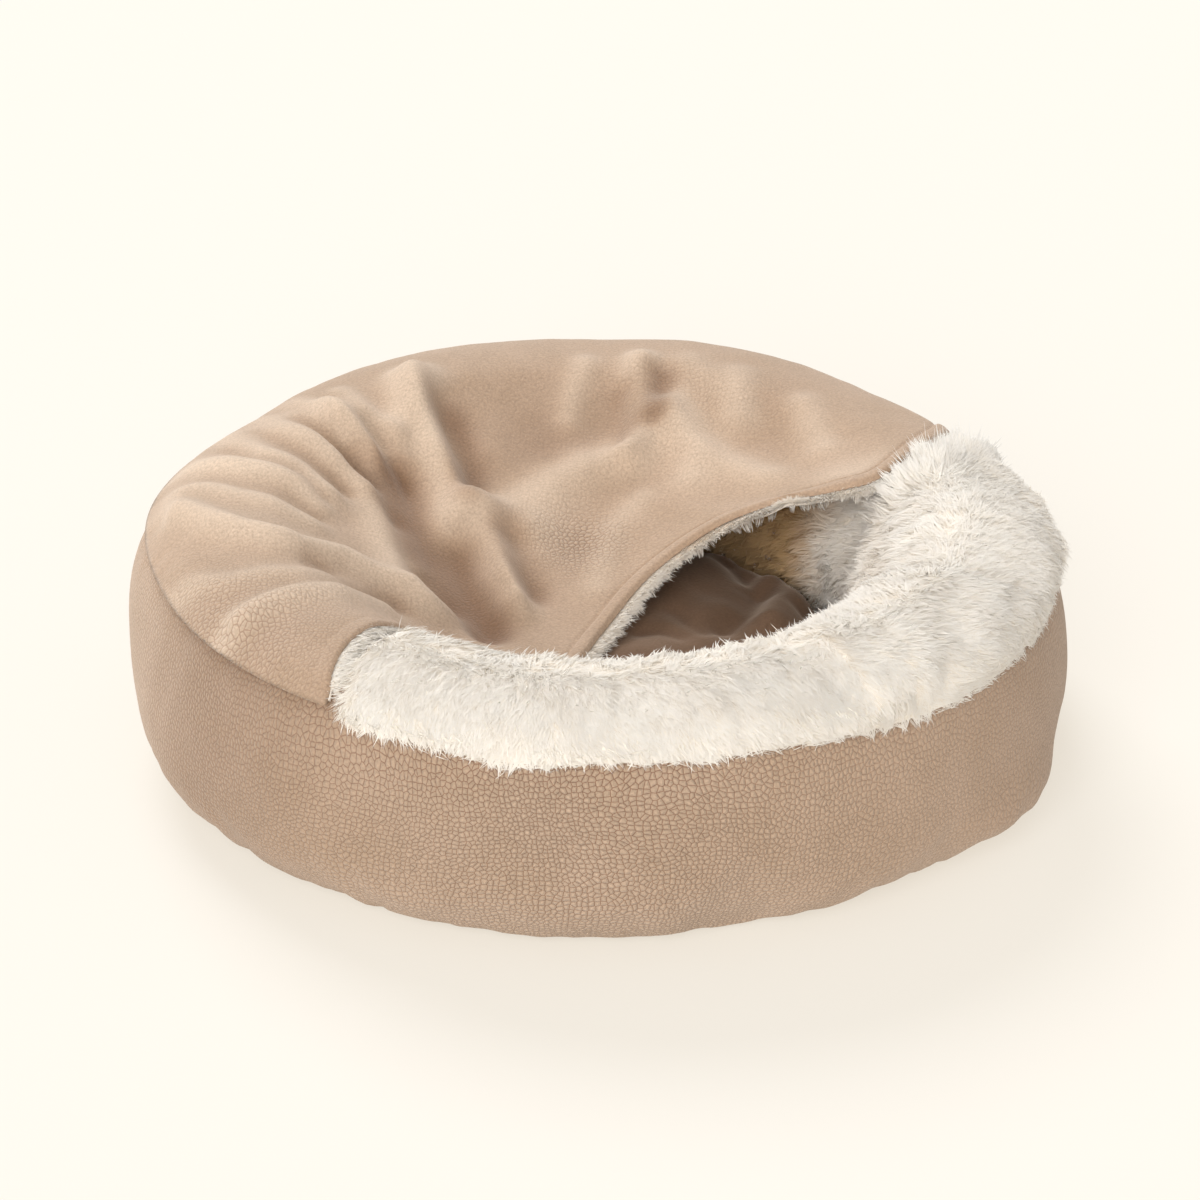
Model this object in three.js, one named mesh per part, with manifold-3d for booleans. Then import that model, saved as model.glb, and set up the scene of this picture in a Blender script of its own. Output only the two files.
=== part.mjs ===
// A round calming pet bed with a hooded blanket: a stuffed ring with a suede-like wall and a shaggy
// panel over its crown, a round floor cushion, a base panel, and a fur-lined hood that is sewn to the
// ring round the back and left and sags into the middle.
// Millimetres, +Z up. The front faces -Y. The origin is the centre of the underside.

import * as THREE from "three";
import { mergeVertices } from "three/addons/utils/BufferGeometryUtils.js";
import Module from "manifold-3d";

const wasm = await Module();
wasm.setup();

const { cos, sin, hypot, exp, min, max } = Math;
const { clamp, lerp, smoothstep, degToRad, euclideanModulo } = THREE.MathUtils;

// Driving dimensions

const WALL_BULGE_RADIUS = 300;
const SEAM_RADIUS = 284;
const SEAM_HEIGHT = 143;
const BASE_THICKNESS = 3;
const BASE_RADIUS = 268;
const GAP = 0.4; // between two pieces that lie on each other
const SHEET_GAP = 0.5; // between the two sides of the hood
const CUSHION_RADIUS = 160;
const CUSHION_CROWN = 78;
const CUSHION_EDGE = 58;
const CUSHION_STEPS = 48;
const CUSHION_WAVES = [
  { height: 1.6, times: 3, turn: 0.6 },
  { height: 1.1, times: 5, turn: 2 },
];
const SHELL_THICKNESS = 2.6; // the hood's suede side
const LINING_THICKNESS = 4.6; // the hood's fur side, pile included
const LINING_AT_SEAM = 2;
const RING_STEPS = 72;
const FINER_RANGES = [{ from: 13, to: 37 }, { from: 226, to: 242 }]; // degrees
const HOOD_STEPS_ROUND = 56;
const HOOD_STEPS_IN = 17;

// The stuffed ring's section, from the edge of its foot up the suede wall to the seam. The wall's
// foot stands on the base panel.
const FOOT_HEIGHT = BASE_THICKNESS + GAP;
const WALL_SECTION = [
  { radius: 266, height: FOOT_HEIGHT },
  { radius: 281, height: 6 },
  { radius: 293, height: 22 },
  { radius: WALL_BULGE_RADIUS, height: 56 },
  { radius: 297, height: 95 },
  { radius: SEAM_RADIUS, height: SEAM_HEIGHT },
];

// Each row is one place on the section between the seam and the ring's inner foot: the stuffed
// core, the pile where it stands open, and the pile where the hood presses on it.
const CROWN_SECTION = [
  { core: [274, 144.5], open: [294, 146], pressed: [270.5, 148.2] },
  { core: [263, 149], open: [286, 157], pressed: [263.5, 152] },
  { core: [248, 151.5], open: [267, 166], pressed: [249, 156] },
  { core: [230, 152], open: [232, 170], pressed: [229, 157] },
  { core: [205, 144.5], open: [198, 160], pressed: [202.5, 147.5] },
  { core: [188, 127], open: [178, 138], pressed: [185.5, 127.5] },
  { core: [180, 105], open: [167, 112], pressed: [173, 107] },
  { core: [179, 80], open: [165, 82], pressed: [168, 82] },
  { core: [184, 45], open: [172, 46], pressed: [173, 46] },
  { core: [194, 14], open: [186, 14], pressed: [186, 14] },
];
const INNER_FOOT = { radius: 204, height: FOOT_HEIGHT };

// The pile's lowest edge: it hangs a little over the wall in the open, and under the hood it is
// drawn up over the seam on to the crown.
const LIP_HEIGHT = 140;
const LIP_TIP = { halfway: [289.4, 147], pressed: [272.8, 147.2] };
const LIP_UNDER = { halfway: [288.2, 145.6], pressed: [273.6, 146.2] };
const LIP_ROOT = { open: [285.4, 144.4], halfway: [284.6, 144.6], pressed: [273.9, 145.6] };
const PANEL_OFF_CORE = 0.8;
const LIP_OFF_WALL = 1.6;
const LIP_DEPTH = 3;
const LIP_TIP_DROP = 1;
const LIP_DROOPS = [
  { angle: 322, spread: 24, droop: 10 },
  { angle: 244, spread: 12, droop: -2.5 },
  { angle: 260, spread: 7, droop: 2 },
];

// Where the crown has sunk or the wall bulges, each row a soft dent or swelling round an angle.
const CROWN_DROPS = [
  { angle: 17, spread: 13, drop: 12 },
  { angle: 42, spread: 20, drop: 10 },
  { angle: 90, spread: 8, drop: 3 },
  { angle: 120, spread: 12, drop: -2 },
  { angle: 148, spread: 7, drop: 3 },
  { angle: 205, spread: 14, drop: 2 },
  { angle: 258, spread: 16, drop: 2.5 },
  { angle: 341, spread: 7, drop: 4 },
];
const SETTLES_AT = { radius: [120, 190], height: [30, 110] }; // where a dent sets in
const SWELLS_AT = [235, 280]; // the radii over which a swelling sets in
const WALL_SWELLINGS = [
  { angle: 331, spread: 12, out: 15, height: 20, reach: 34 },
  { angle: 345, spread: 14, out: 3, height: 110, reach: 50 },
  { angle: 174, spread: 18, out: 10, height: 120, reach: 60 },
  { angle: 208, spread: 16, out: 6, height: 25, reach: 42 },
  { angle: 228, spread: 10, out: 2.5, height: 80, reach: 60 },
  { angle: 287, spread: 6, out: -9, height: 8, reach: 22 },
  { angle: 90, spread: 30, out: 2, height: 70, reach: 60 },
];

// Where the pile parts in a crease, and how far it is pressed there, between two rows of the crown
// section.
const PILE_CREASES = [
  { angle: 339, spread: 3.5, share: 0.45, from: 2, to: 6 },
  { angle: 10, spread: 4, share: 0.4, from: 5, to: 9 },
  { angle: 31, spread: 4, share: 0.45, from: 5, to: 9 },
  { angle: 9, spread: 7, share: 0.5, from: 1, to: 2 },
  { angle: 272, spread: 5, share: 0.2, from: 1, to: 4 },
  { angle: 300, spread: 5, share: 0.2, from: 1, to: 5 },
];
const PILE_LUMPS = { share: 0.07, slow: 13, fast: 21, least: -0.2 };
const INNER_SIDE = [172, 204]; // the radii where the crown turns down to the inner side
const PILE_STAYS = { pressedFor: 2, longerInside: 9, fade: 3.4 }; // degrees past the hood's edge
const LOCK_SPACING = 2.4; // degrees between two locks of pile along the open rim
const LOCK_RANGE = { from: 241, to: 380 }; // degrees
const LOCK = { length: 13, width: 7, depth: 4, rootUp: 5, rootOut: 1 };
const LOCK_CHANGES = { lean: 0.8, leanTurn: 2.4, length: 0.3, lengthTurn: 1.7 }; // from lock to lock

// The hood where it lies on the ring, from the seam to the inner shoulder. At its right end it is
// drawn taut and leaves the ring sooner.
const HOOD_SECTION = [
  { radius: 280.5, height: 146.5, taut: 146.5 },
  { radius: 268, height: 156, taut: 156 },
  { radius: 250, height: 162, taut: 162 },
  { radius: 230, height: 163.5, taut: 165 },
  { radius: 213, height: 161, taut: 164.5 },
  { radius: 197, height: 153.5, taut: 161 },
];
const TAUT_SHARE = 0.16; // how far round the hood the tautness reaches
const OVER_CROWN = 0.4; // the share of the hood's depth that lies on the ring

// The hood's edge. Its two ends cross the crown, and its middle hangs across the hollow from a place
// some way in from each end.
const HEM_RIGHT_ANGLES = [34, 31, 28, 25, 21.5, 18.5];
const HEM_LEFT_ANGLES = [234.5, 233, 231.5, 230.5, 230, 230];
const HEM_MIDDLE = [
  { x: 122, y: 50, z: 141.5 },
  { x: 78, y: 43, z: 126 },
  { x: 34, y: 14, z: 106 },
  { x: 2, y: -38, z: 91 },
  { x: -20, y: -86, z: 87 },
  { x: -44, y: -118, z: 92 },
  { x: -72, y: -132, z: 108 },
];

// How far the lining's pile stands out past the hem, and how far it sags there.
const PAST_HEM = { onRing: 5, inHollow: 7 };
const HEM_SAG = { onRing: 0.2, inHollow: 2, atCorner: 4.5 };

// The hood's main folds as lines in plan, each a soft ridge or, where its height is negative, a
// trough.
const HOOD_FOLDS = [
  { height: -11, width: 14, line: [[-136, 85], [-126, 49], [-117, 9], [-104, -18], [-77, -46]] },
  { height: 6, width: 14, line: [[-172, 128], [-152, 84], [-145, 33], [-136, -20], [-116, -48]] },
  { height: 7, width: 12, line: [[-134, 176], [-121, 140], [-106, 108], [-95, 84], [-98, 62]] },
  { height: -4, width: 12, line: [[-98, 148], [-86, 116], [-88, 92]] },
  { height: 9, width: 12, line: [[-80, 80], [-71, 52], [-65, 16], [-56, -14]] },
  { height: -6, width: 13, line: [[-92, 30], [-84, -2], [-68, -46]] },
  { height: -3, width: 12, line: [[-58, 66], [-49, 30], [-43, -8]] },
  { height: 6, width: 11, line: [[26, 244], [23, 200], [18, 160], [14, 140]] },
  { height: -4, width: 11, line: [[38, 200], [34, 178], [31, 160]] },
  { height: 5, width: 15, line: [[-62, 78], [-32, 112], [-1, 125], [27, 142], [44, 172]] },
  { height: 6, width: 14, line: [[44, 172], [60, 138], [80, 118], [110, 92]] },
  { height: 3, width: 11, line: [[27, 94], [9, 66], [2, 36], [-3, 6]] },
  { height: 3, width: 14, line: [[60, 212], [87, 177], [97, 153]] },
  { height: 5, width: 11, line: [[-276, 4], [-244, -40], [-209, -56], [-166, -36], [-129, -38]] },
  { height: 4.5, width: 11, line: [[-262, -97], [-230, -108], [-190, -99], [-166, -76]] },
  { height: 3.5, width: 11, line: [[-221, -152], [-197, -140], [-170, -118]] },
  { height: 4, width: 12, line: [[-271, 66], [-237, 52], [-204, 42], [-178, 34]] },
  { height: 4, width: 12, line: [[-240, 106], [-212, 98], [-180, 80]] },
  { height: 3, width: 12, line: [[-207, 128], [-180, 120]] },
];
const ROOM_ON_RING = 0.3; // how far a trough may press in where the hood lies on the ring
const ROOM_IN_HOLLOW = 14;
const SAG_PULLS = { atShoulder: 1.15, atHem: 0.9 }; // how strongly the sag keeps to its end slopes

// Solids and sections

function evenAngles(steps) {
  return Array.from({ length: steps }, (_, i) => (i / steps) * 2 * Math.PI);
}

function toSolid(geometry) {
  const bare = new THREE.BufferGeometry();
  bare.setAttribute("position", geometry.getAttribute("position"));
  bare.setIndex(geometry.index);
  const merged = mergeVertices(bare, 1e-3);
  return new wasm.Manifold(
    new wasm.Mesh({
      numProp: 3,
      vertProperties: merged.getAttribute("position").array,
      triVerts: new Uint32Array(merged.index.array),
    }),
  );
}

function toGeometry(solid) {
  const mesh = solid.getMesh();
  const geometry = new THREE.BufferGeometry();
  geometry.setAttribute("position", new THREE.BufferAttribute(mesh.vertProperties, 3));
  geometry.setIndex(new THREE.BufferAttribute(mesh.triVerts, 1));
  geometry.computeVertexNormals();
  return geometry;
}

// The angles of a lathed piece's sections: even all round, and three times closer by the two places
// where the hood ends.
function ringAngles(steps) {
  const step = 360 / steps;
  const angles = [];
  for (let i = 0; i < steps; i++) {
    const nearEnd = FINER_RANGES.some(({ from, to }) => (i + 1) * step > from && i * step < to);
    const parts = nearEnd ? 3 : 1;
    for (let j = 0; j < parts; j++) angles.push(degToRad((i + j / parts) * step));
  }
  return angles;
}

// A lathed solid whose section changes as it goes round: sectionAt(angle) gives the closed list of
// [radius, height] places, always as many.
function shapedLathe(sectionAt, angles) {
  const sections = angles.map(sectionAt);
  const first = sections[0].map(([radius, height]) => new THREE.Vector2(radius, height));
  const geometry = new THREE.LatheGeometry(first, angles.length);
  const position = geometry.getAttribute("position");
  for (let i = 0; i <= angles.length; i++) {
    const angle = angles[i % angles.length];
    sections[i % angles.length].forEach(([radius, height], j) => {
      const at = i * first.length + j;
      position.setXYZ(at, radius * cos(angle), radius * sin(angle), height);
    });
  }
  geometry.computeVertexNormals();
  return geometry;
}

// How near an angle is to a row's own, from 0 to 1.
function nearness(angle, row) {
  const turned = euclideanModulo(THREE.MathUtils.radToDeg(angle) - row.angle + 180, 360) - 180;
  return exp(-((turned / row.spread) ** 2));
}

// The dents and swellings of a stuffed ring, the same for every piece that lies on it.
function settled(angle, radius, height) {
  const onRing = smoothstep(radius, ...SETTLES_AT.radius);
  const raised = smoothstep(height, ...SETTLES_AT.height);
  const drop = CROWN_DROPS.reduce((sum, row) => sum + row.drop * nearness(angle, row), 0);
  const out = WALL_SWELLINGS.reduce(
    (sum, row) => sum + row.out * nearness(angle, row) * exp(-(((height - row.height) / row.reach) ** 2)),
    0,
  );
  const outer = smoothstep(radius, ...SWELLS_AT);
  return [radius + out * outer, height - drop * raised * onRing];
}

// A table of values that are evenly spaced along t from 0 to 1, read with a smooth curve.
function readSmoothly(values, t) {
  const curve = new THREE.SplineCurve(values.map((value, i) => new THREE.Vector2(i, value)));
  return curve.getPoint(clamp(t, 0, 1)).y;
}

// The stuffed ring

function bolsterSection(angle) {
  const section = [
    ...WALL_SECTION.map((row) => [row.radius, row.height]),
    ...CROWN_SECTION.map((row) => row.core),
    [INNER_FOOT.radius, INNER_FOOT.height],
  ];
  const closed = [...section, section[0]];
  return closed.map(([radius, height]) => settled(angle, radius, height));
}

// The shaggy panel

// From 0 where the pile stands open to 1 where the hood presses it, at a radius on the ring. Down
// the inner side the pile stays pressed for longer past the hood's edge.
function pressure(angle, radius) {
  const [outermost, innermost] = [HOOD_SECTION[0].radius, HOOD_SECTION.at(-1).radius];
  const down = (outermost - radius) / (outermost - innermost);
  const degrees = euclideanModulo(THREE.MathUtils.radToDeg(angle), 360);
  const right = readSmoothly(HEM_RIGHT_ANGLES, down);
  const left = readSmoothly(HEM_LEFT_ANGLES, down);
  const clear = PILE_STAYS.pressedFor + PILE_STAYS.longerInside * (1 - smoothstep(radius, ...INNER_SIDE));
  const fade = PILE_STAYS.fade;
  return (
    smoothstep(degrees, right - clear - fade, right - clear) *
    (1 - smoothstep(degrees, left + clear, left + clear + fade))
  );
}

function offsetPath(path, distance) {
  return path.map(([x, y], i) => {
    const [beforeX, beforeY] = path[max(i - 1, 0)];
    const [afterX, afterY] = path[min(i + 1, path.length - 1)];
    const length = hypot(afterX - beforeX, afterY - beforeY);
    return [x + ((afterY - beforeY) / length) * distance, y - ((afterX - beforeX) / length) * distance];
  });
}

// The wall's radius at a height between its widest part and the seam.
function upperWallRadius(height) {
  const [low, seam] = WALL_SECTION.slice(-2);
  return lerp(low.radius, seam.radius, (height - low.height) / (seam.height - low.height));
}

// How far the pile is pressed at a place, from 0 where it stands open: under the hood, in its
// creases, and a little more or less from lump to lump.
function pressedShare(angle, place) {
  const underHood = pressure(angle, CROWN_SECTION[place].pressed[0]);
  const creased = PILE_CREASES.reduce((most, row) => {
    const along = smoothstep(place, row.from - 1, row.from) * (1 - smoothstep(place, row.to, row.to + 1));
    return max(most, row.share * nearness(angle, row) * along);
  }, 0);
  const lumps = sin(PILE_LUMPS.slow * angle + 1.7 * place) + sin(PILE_LUMPS.fast * angle - 2.3 * place);
  const loose = PILE_LUMPS.share * lumps * (1 - underHood);
  return clamp(max(underHood, creased) + loose, PILE_LUMPS.least, 1);
}

function lipHeightAt(angle) {
  return LIP_HEIGHT - LIP_DROOPS.reduce((sum, row) => sum + row.droop * nearness(angle, row), 0);
}

function furSection(angle) {
  const mix = (row, place) => {
    const share = pressedShare(angle, place);
    return [lerp(row.open[0], row.pressed[0], share), lerp(row.open[1], row.pressed[1], share)];
  };
  const slide = (open, { halfway, pressed }) => {
    const share = pressure(angle, HOOD_SECTION[0].radius) * 2;
    const [from, to] = share < 1 ? [open, halfway] : [halfway, pressed];
    const part = share < 1 ? share : share - 1;
    return [lerp(from[0], to[0], part), lerp(from[1], to[1], part)];
  };
  const lipHeight = lipHeightAt(angle);
  const underRadius = upperWallRadius(lipHeight) + LIP_OFF_WALL;
  const top = CROWN_SECTION.map((row, i) => mix(row, i));
  const seam = [SEAM_RADIUS, SEAM_HEIGHT];
  const under = offsetPath([seam, ...CROWN_SECTION.map((row) => row.core)], PANEL_OFF_CORE).slice(1);
  const tip = slide([underRadius + LIP_DEPTH, lipHeight - LIP_TIP_DROP], LIP_TIP);
  const lipUnder = slide([underRadius, lipHeight], LIP_UNDER);
  const section = [tip, ...top, ...under.reverse(), slide(LIP_ROOT.open, LIP_ROOT), lipUnder, tip];
  return section.map(([radius, height]) => settled(angle, radius, height));
}

// A lock is a short three-sided spike that hangs from the panel's rim, clear of the wall. Its root
// lies inside the rim.
function lockSolid(angle, order) {
  const place = (atAngle, radius, height) => {
    const [settledRadius, settledHeight] = settled(atAngle, radius, height);
    return new THREE.Vector3(settledRadius * cos(atAngle), settledRadius * sin(atAngle), settledHeight);
  };
  const halfAngle = LOCK.width / 2 / SEAM_RADIUS;
  const lean = LOCK_CHANGES.lean * halfAngle * sin(order * LOCK_CHANGES.leanTurn);
  const length = LOCK.length * (0.8 + LOCK_CHANGES.length * sin(order * LOCK_CHANGES.lengthTurn));
  const rootHeight = lipHeightAt(angle) + LOCK.rootUp;
  const rootRadius = upperWallRadius(lipHeightAt(angle)) + LIP_OFF_WALL + LOCK.rootOut;
  const tipHeight = lipHeightAt(angle) - length;
  const tipRadius = upperWallRadius(tipHeight) + LIP_OFF_WALL + LIP_DEPTH;
  const spike = new THREE.BufferGeometry().setFromPoints([
    place(angle - halfAngle, rootRadius, rootHeight),
    place(angle + halfAngle, rootRadius, rootHeight),
    place(angle, rootRadius + LOCK.depth, rootHeight),
    place(angle + lean, tipRadius, tipHeight),
  ]);
  spike.setIndex([0, 2, 1, 0, 1, 3, 0, 3, 2, 2, 3, 1]);
  return toSolid(spike);
}

function furSolid(angles) {
  const panel = toSolid(shapedLathe(furSection, angles));
  const locks = [];
  for (let degrees = LOCK_RANGE.from; degrees < LOCK_RANGE.to; degrees += LOCK_SPACING) {
    locks.push(lockSolid(degToRad(degrees), locks.length));
  }
  return toGeometry(wasm.Manifold.union([panel, ...locks]));
}

// The floor cushion

function cushionSection(angle) {
  const wave = CUSHION_WAVES.reduce((sum, row) => sum + row.height * sin(row.times * angle + row.turn), 0);
  const edge = CUSHION_EDGE + wave;
  const radius = CUSHION_RADIUS + 0.6 * wave;
  return [
    [0, FOOT_HEIGHT],
    [radius - 22, FOOT_HEIGHT],
    [radius - 7, 9],
    [radius - 1, 20],
    [radius, 32],
    [radius - 5, 46],
    [radius - 18, edge],
    [radius * 0.68, lerp(edge, CUSHION_CROWN, 0.55) + wave],
    [radius * 0.4, lerp(edge, CUSHION_CROWN, 0.88)],
    [0, CUSHION_CROWN],
  ];
}

// The hood

const hoodSectionCurve = new THREE.CatmullRomCurve3(
  HOOD_SECTION.map((row) => new THREE.Vector3(row.radius, row.taut, row.height)),
);
const hemMiddleCurve = new THREE.CatmullRomCurve3(
  HEM_MIDDLE.map((row) => new THREE.Vector3(row.x, row.y, row.z)),
);

// The hood's middle surface where it lies on the ring: round runs from its right end to its left,
// and down from the seam to the inner shoulder.
function hoodOnCrown(round, down) {
  const right = readSmoothly(HEM_RIGHT_ANGLES, down);
  const left = readSmoothly(HEM_LEFT_ANGLES, down);
  const angle = degToRad(lerp(right, left, round));
  const place = hoodSectionCurve.getPoint(clamp(down, 0, 1));
  const taut = exp(-((round / TAUT_SHARE) ** 2));
  const [radius, height] = settled(angle, place.x, lerp(place.z, place.y, taut));
  return new THREE.Vector3(radius * cos(angle), radius * sin(angle), height);
}

// The hood's middle surface where it hangs from the inner shoulder to the hem.
function hoodInHollow(round, t) {
  const start = hoodOnCrown(round, 1);
  const before = hoodOnCrown(round, 0.9);
  const end = hemMiddleCurve.getPoint(round);
  const reach = hypot(end.x - start.x, end.y - start.y);
  const leave = start.clone().sub(before).normalize().multiplyScalar(reach * SAG_PULLS.atShoulder);
  const land = new THREE.Vector3(end.x - start.x, end.y - start.y, 0).multiplyScalar(SAG_PULLS.atHem);
  return new THREE.Vector3()
    .addScaledVector(start, 2 * t ** 3 - 3 * t ** 2 + 1)
    .addScaledVector(leave, t ** 3 - 2 * t ** 2 + t)
    .addScaledVector(end, -2 * t ** 3 + 3 * t ** 2)
    .addScaledVector(land, t ** 3 - t ** 2);
}

function hoodPoint(round, inward) {
  if (inward <= OVER_CROWN) return hoodOnCrown(round, inward / OVER_CROWN);
  return hoodInHollow(round, (inward - OVER_CROWN) / (1 - OVER_CROWN));
}

function hoodNormal(round, inward) {
  const step = 0.004; // of the hood's width or depth
  const [r0, r1] = [max(round - step, 0), min(round + step, 1)];
  const [i0, i1] = [max(inward - step, 0), min(inward + step, 1)];
  const alongRound = hoodPoint(r1, inward).sub(hoodPoint(r0, inward));
  const alongIn = hoodPoint(round, i1).sub(hoodPoint(round, i0));
  return alongRound.cross(alongIn).normalize();
}

// The distance in plan from a place to a fold's line.
function distanceToLine(place, line) {
  let least = Infinity;
  for (let i = 1; i < line.length; i++) {
    const [x0, y0] = line[i - 1];
    const [x1, y1] = line[i];
    const along = ((place.x - x0) * (x1 - x0) + (place.y - y0) * (y1 - y0)) / hypot(x1 - x0, y1 - y0) ** 2;
    const t = clamp(along, 0, 1);
    least = min(least, hypot(place.x - lerp(x0, x1, t), place.y - lerp(y0, y1, t)));
  }
  return least;
}

// How far the folds lift the hood off its smooth middle surface.
function foldLift(place, inward) {
  const lift = HOOD_FOLDS.reduce(
    (sum, fold) => sum + fold.height * exp(-((distanceToLine(place, fold.line) / fold.width) ** 2)),
    0,
  );
  const room = lerp(ROOM_ON_RING, ROOM_IN_HOLLOW, smoothstep(inward, OVER_CROWN, OVER_CROWN + 0.2));
  return max(lift, -room) * smoothstep(inward, 0, 0.08);
}

// Where the hem stands out past the cloth's own edge, and sags: the shift of a place on the edge.
function hemShift(round, inward, normal) {
  const edge = new THREE.Vector3();
  const step = 0.01;
  if (round === 0) edge.add(hoodPoint(0, inward).sub(hoodPoint(step, inward)).normalize());
  if (round === 1) edge.add(hoodPoint(1, inward).sub(hoodPoint(1 - step, inward)).normalize());
  if (inward === 1) edge.add(hoodPoint(round, 1).sub(hoodPoint(round, 1 - step)).normalize());
  if (edge.length() === 0) return edge;
  const free = smoothstep(inward, 0.02, 0.12);
  const hollow = smoothstep(inward, OVER_CROWN, 0.6);
  const out = lerp(PAST_HEM.onRing, PAST_HEM.inHollow, hollow) * free;
  const isCorner = inward === 1 && (round === 0 || round === 1);
  const sag = isCorner ? HEM_SAG.atCorner : lerp(HEM_SAG.onRing, HEM_SAG.inHollow, hollow) * free;
  return edge.normalize().multiplyScalar(out).addScaledVector(normal, -sag);
}

// A closed sheet on the hood's middle surface. Its two faces are laid at two distances from that
// surface and share one pattern of triangles, so two sheets with equal grids never cross.
function hoodSheet({ bottomAt, topAt, pastHem }) {
  const [across, down] = [HOOD_STEPS_ROUND + 1, HOOD_STEPS_IN + 1];
  const places = { bottom: [], top: [] };
  for (let j = 0; j < down; j++) {
    for (let i = 0; i < across; i++) {
      const [round, inward] = [i / HOOD_STEPS_ROUND, j / HOOD_STEPS_IN];
      const middle = hoodPoint(round, inward);
      const normal = hoodNormal(round, inward);
      middle.addScaledVector(normal, foldLift(middle, inward));
      if (pastHem) middle.add(hemShift(round, inward, normal));
      places.bottom.push(middle.clone().addScaledVector(normal, bottomAt(inward)));
      places.top.push(middle.clone().addScaledVector(normal, topAt(inward)));
    }
  }
  const count = across * down;
  const index = [];
  for (let j = 0; j < HOOD_STEPS_IN; j++) {
    for (let i = 0; i < HOOD_STEPS_ROUND; i++) {
      const [a, b] = [j * across + i, j * across + i + 1];
      const [c, d] = [a + across, b + across];
      index.push(a + count, b + count, d + count, a + count, d + count, c + count);
      index.push(a, d, b, a, c, d);
    }
  }
  const rim = [];
  for (let i = 0; i < HOOD_STEPS_ROUND; i++) rim.push(i);
  for (let j = 0; j < HOOD_STEPS_IN; j++) rim.push(j * across + HOOD_STEPS_ROUND);
  for (let i = HOOD_STEPS_ROUND; i > 0; i--) rim.push(HOOD_STEPS_IN * across + i);
  for (let j = HOOD_STEPS_IN; j > 0; j--) rim.push(j * across);
  rim.forEach((from, k) => {
    const to = rim[(k + 1) % rim.length];
    index.push(from, to, to + count, from, to + count, from + count);
  });
  const geometry = new THREE.BufferGeometry().setFromPoints([...places.bottom, ...places.top]);
  geometry.setIndex(index);
  geometry.computeVertexNormals();
  return geometry;
}

const materials = {
  suede: new THREE.MeshStandardMaterial({ color: "#b99b83", roughness: 0.85, metalness: 0 }),
  fur: new THREE.MeshStandardMaterial({ color: "#f2eee6", roughness: 0.95, metalness: 0 }),
  velvet: new THREE.MeshStandardMaterial({ color: "#a98a72", roughness: 0.9, metalness: 0 }),
  baseCloth: new THREE.MeshStandardMaterial({ color: "#8f7a68", roughness: 0.9, metalness: 0 }),
};

const bed = new THREE.Group();

function addPiece(name, geometry, material) {
  const mesh = new THREE.Mesh(geometry, material);
  mesh.name = name;
  bed.add(mesh);
}

// The hood's two sides lie on either side of its middle surface. The fur side is thin where it is
// sewn in, and its pile stands out past the hem.
const half = SHEET_GAP / 2;
const liningDepth = (inward) => lerp(LINING_AT_SEAM, LINING_THICKNESS, smoothstep(inward, 0, 0.12));
const shellSide = { bottomAt: () => half, topAt: () => half + SHELL_THICKNESS, pastHem: false };
const liningSide = { bottomAt: (inward) => -half - liningDepth(inward), topAt: () => -half, pastHem: true };

const basePanel = new THREE.CylinderGeometry(BASE_RADIUS, BASE_RADIUS, BASE_THICKNESS, RING_STEPS);
basePanel.rotateX(Math.PI / 2).translate(0, 0, BASE_THICKNESS / 2);
const ring = ringAngles(RING_STEPS);

addPiece("base_panel", basePanel, materials.baseCloth);
addPiece("bolster", shapedLathe(bolsterSection, ring), materials.suede);
addPiece("fur_cover", furSolid(ring), materials.fur);
addPiece("floor_cushion", shapedLathe(cushionSection, evenAngles(CUSHION_STEPS)), materials.velvet);
addPiece("hood_shell", hoodSheet(shellSide), materials.suede);
addPiece("hood_lining", hoodSheet(liningSide), materials.fur);

// The origin is the middle of the underside.
const extent = new THREE.Box3().setFromObject(bed);
bed.position.set(-(extent.min.x + extent.max.x) / 2, -(extent.min.y + extent.max.y) / 2, 0);

export default bed;
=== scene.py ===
# A round calming pet bed with a hooded blanket: a stuffed ring with an embossed suede wall, a
# shaggy panel over its crown, a round floor cushion, and a fleece-lined hood that is sewn to the
# ring round the back and left and sags into the middle.
# Sizes and places are in millimetres in the bed's own frame: +Z up, the front towards -Y, and the
# axis of the ring at X 0, Y 0. They are turned into metres when a mesh is made.

import math

import bpy
import numpy as np
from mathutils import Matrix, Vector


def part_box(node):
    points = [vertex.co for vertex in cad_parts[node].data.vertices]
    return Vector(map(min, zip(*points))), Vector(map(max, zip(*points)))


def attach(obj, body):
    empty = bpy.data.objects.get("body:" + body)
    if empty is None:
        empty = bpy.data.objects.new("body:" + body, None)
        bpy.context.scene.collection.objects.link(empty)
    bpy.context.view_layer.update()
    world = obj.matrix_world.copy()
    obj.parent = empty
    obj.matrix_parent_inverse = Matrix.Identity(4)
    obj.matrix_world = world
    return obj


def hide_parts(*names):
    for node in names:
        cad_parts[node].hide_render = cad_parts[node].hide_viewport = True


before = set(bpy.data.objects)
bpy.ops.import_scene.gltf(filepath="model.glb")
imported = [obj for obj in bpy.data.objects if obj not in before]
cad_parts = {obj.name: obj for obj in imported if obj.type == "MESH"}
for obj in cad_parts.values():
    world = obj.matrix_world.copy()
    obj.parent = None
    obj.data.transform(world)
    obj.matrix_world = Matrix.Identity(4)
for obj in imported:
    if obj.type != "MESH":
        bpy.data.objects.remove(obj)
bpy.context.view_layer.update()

MM = 0.001
BODY = "root"

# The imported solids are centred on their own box, so the ring's axis stands a little off the origin,
# where the round base panel's middle is.
base_low, base_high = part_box("base_panel")
AXIS_SHIFT = np.array([base_low.x + base_high.x, base_low.y + base_high.y, 0]) / 2 / MM


# The camera stands where the photograph was taken from.

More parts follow.
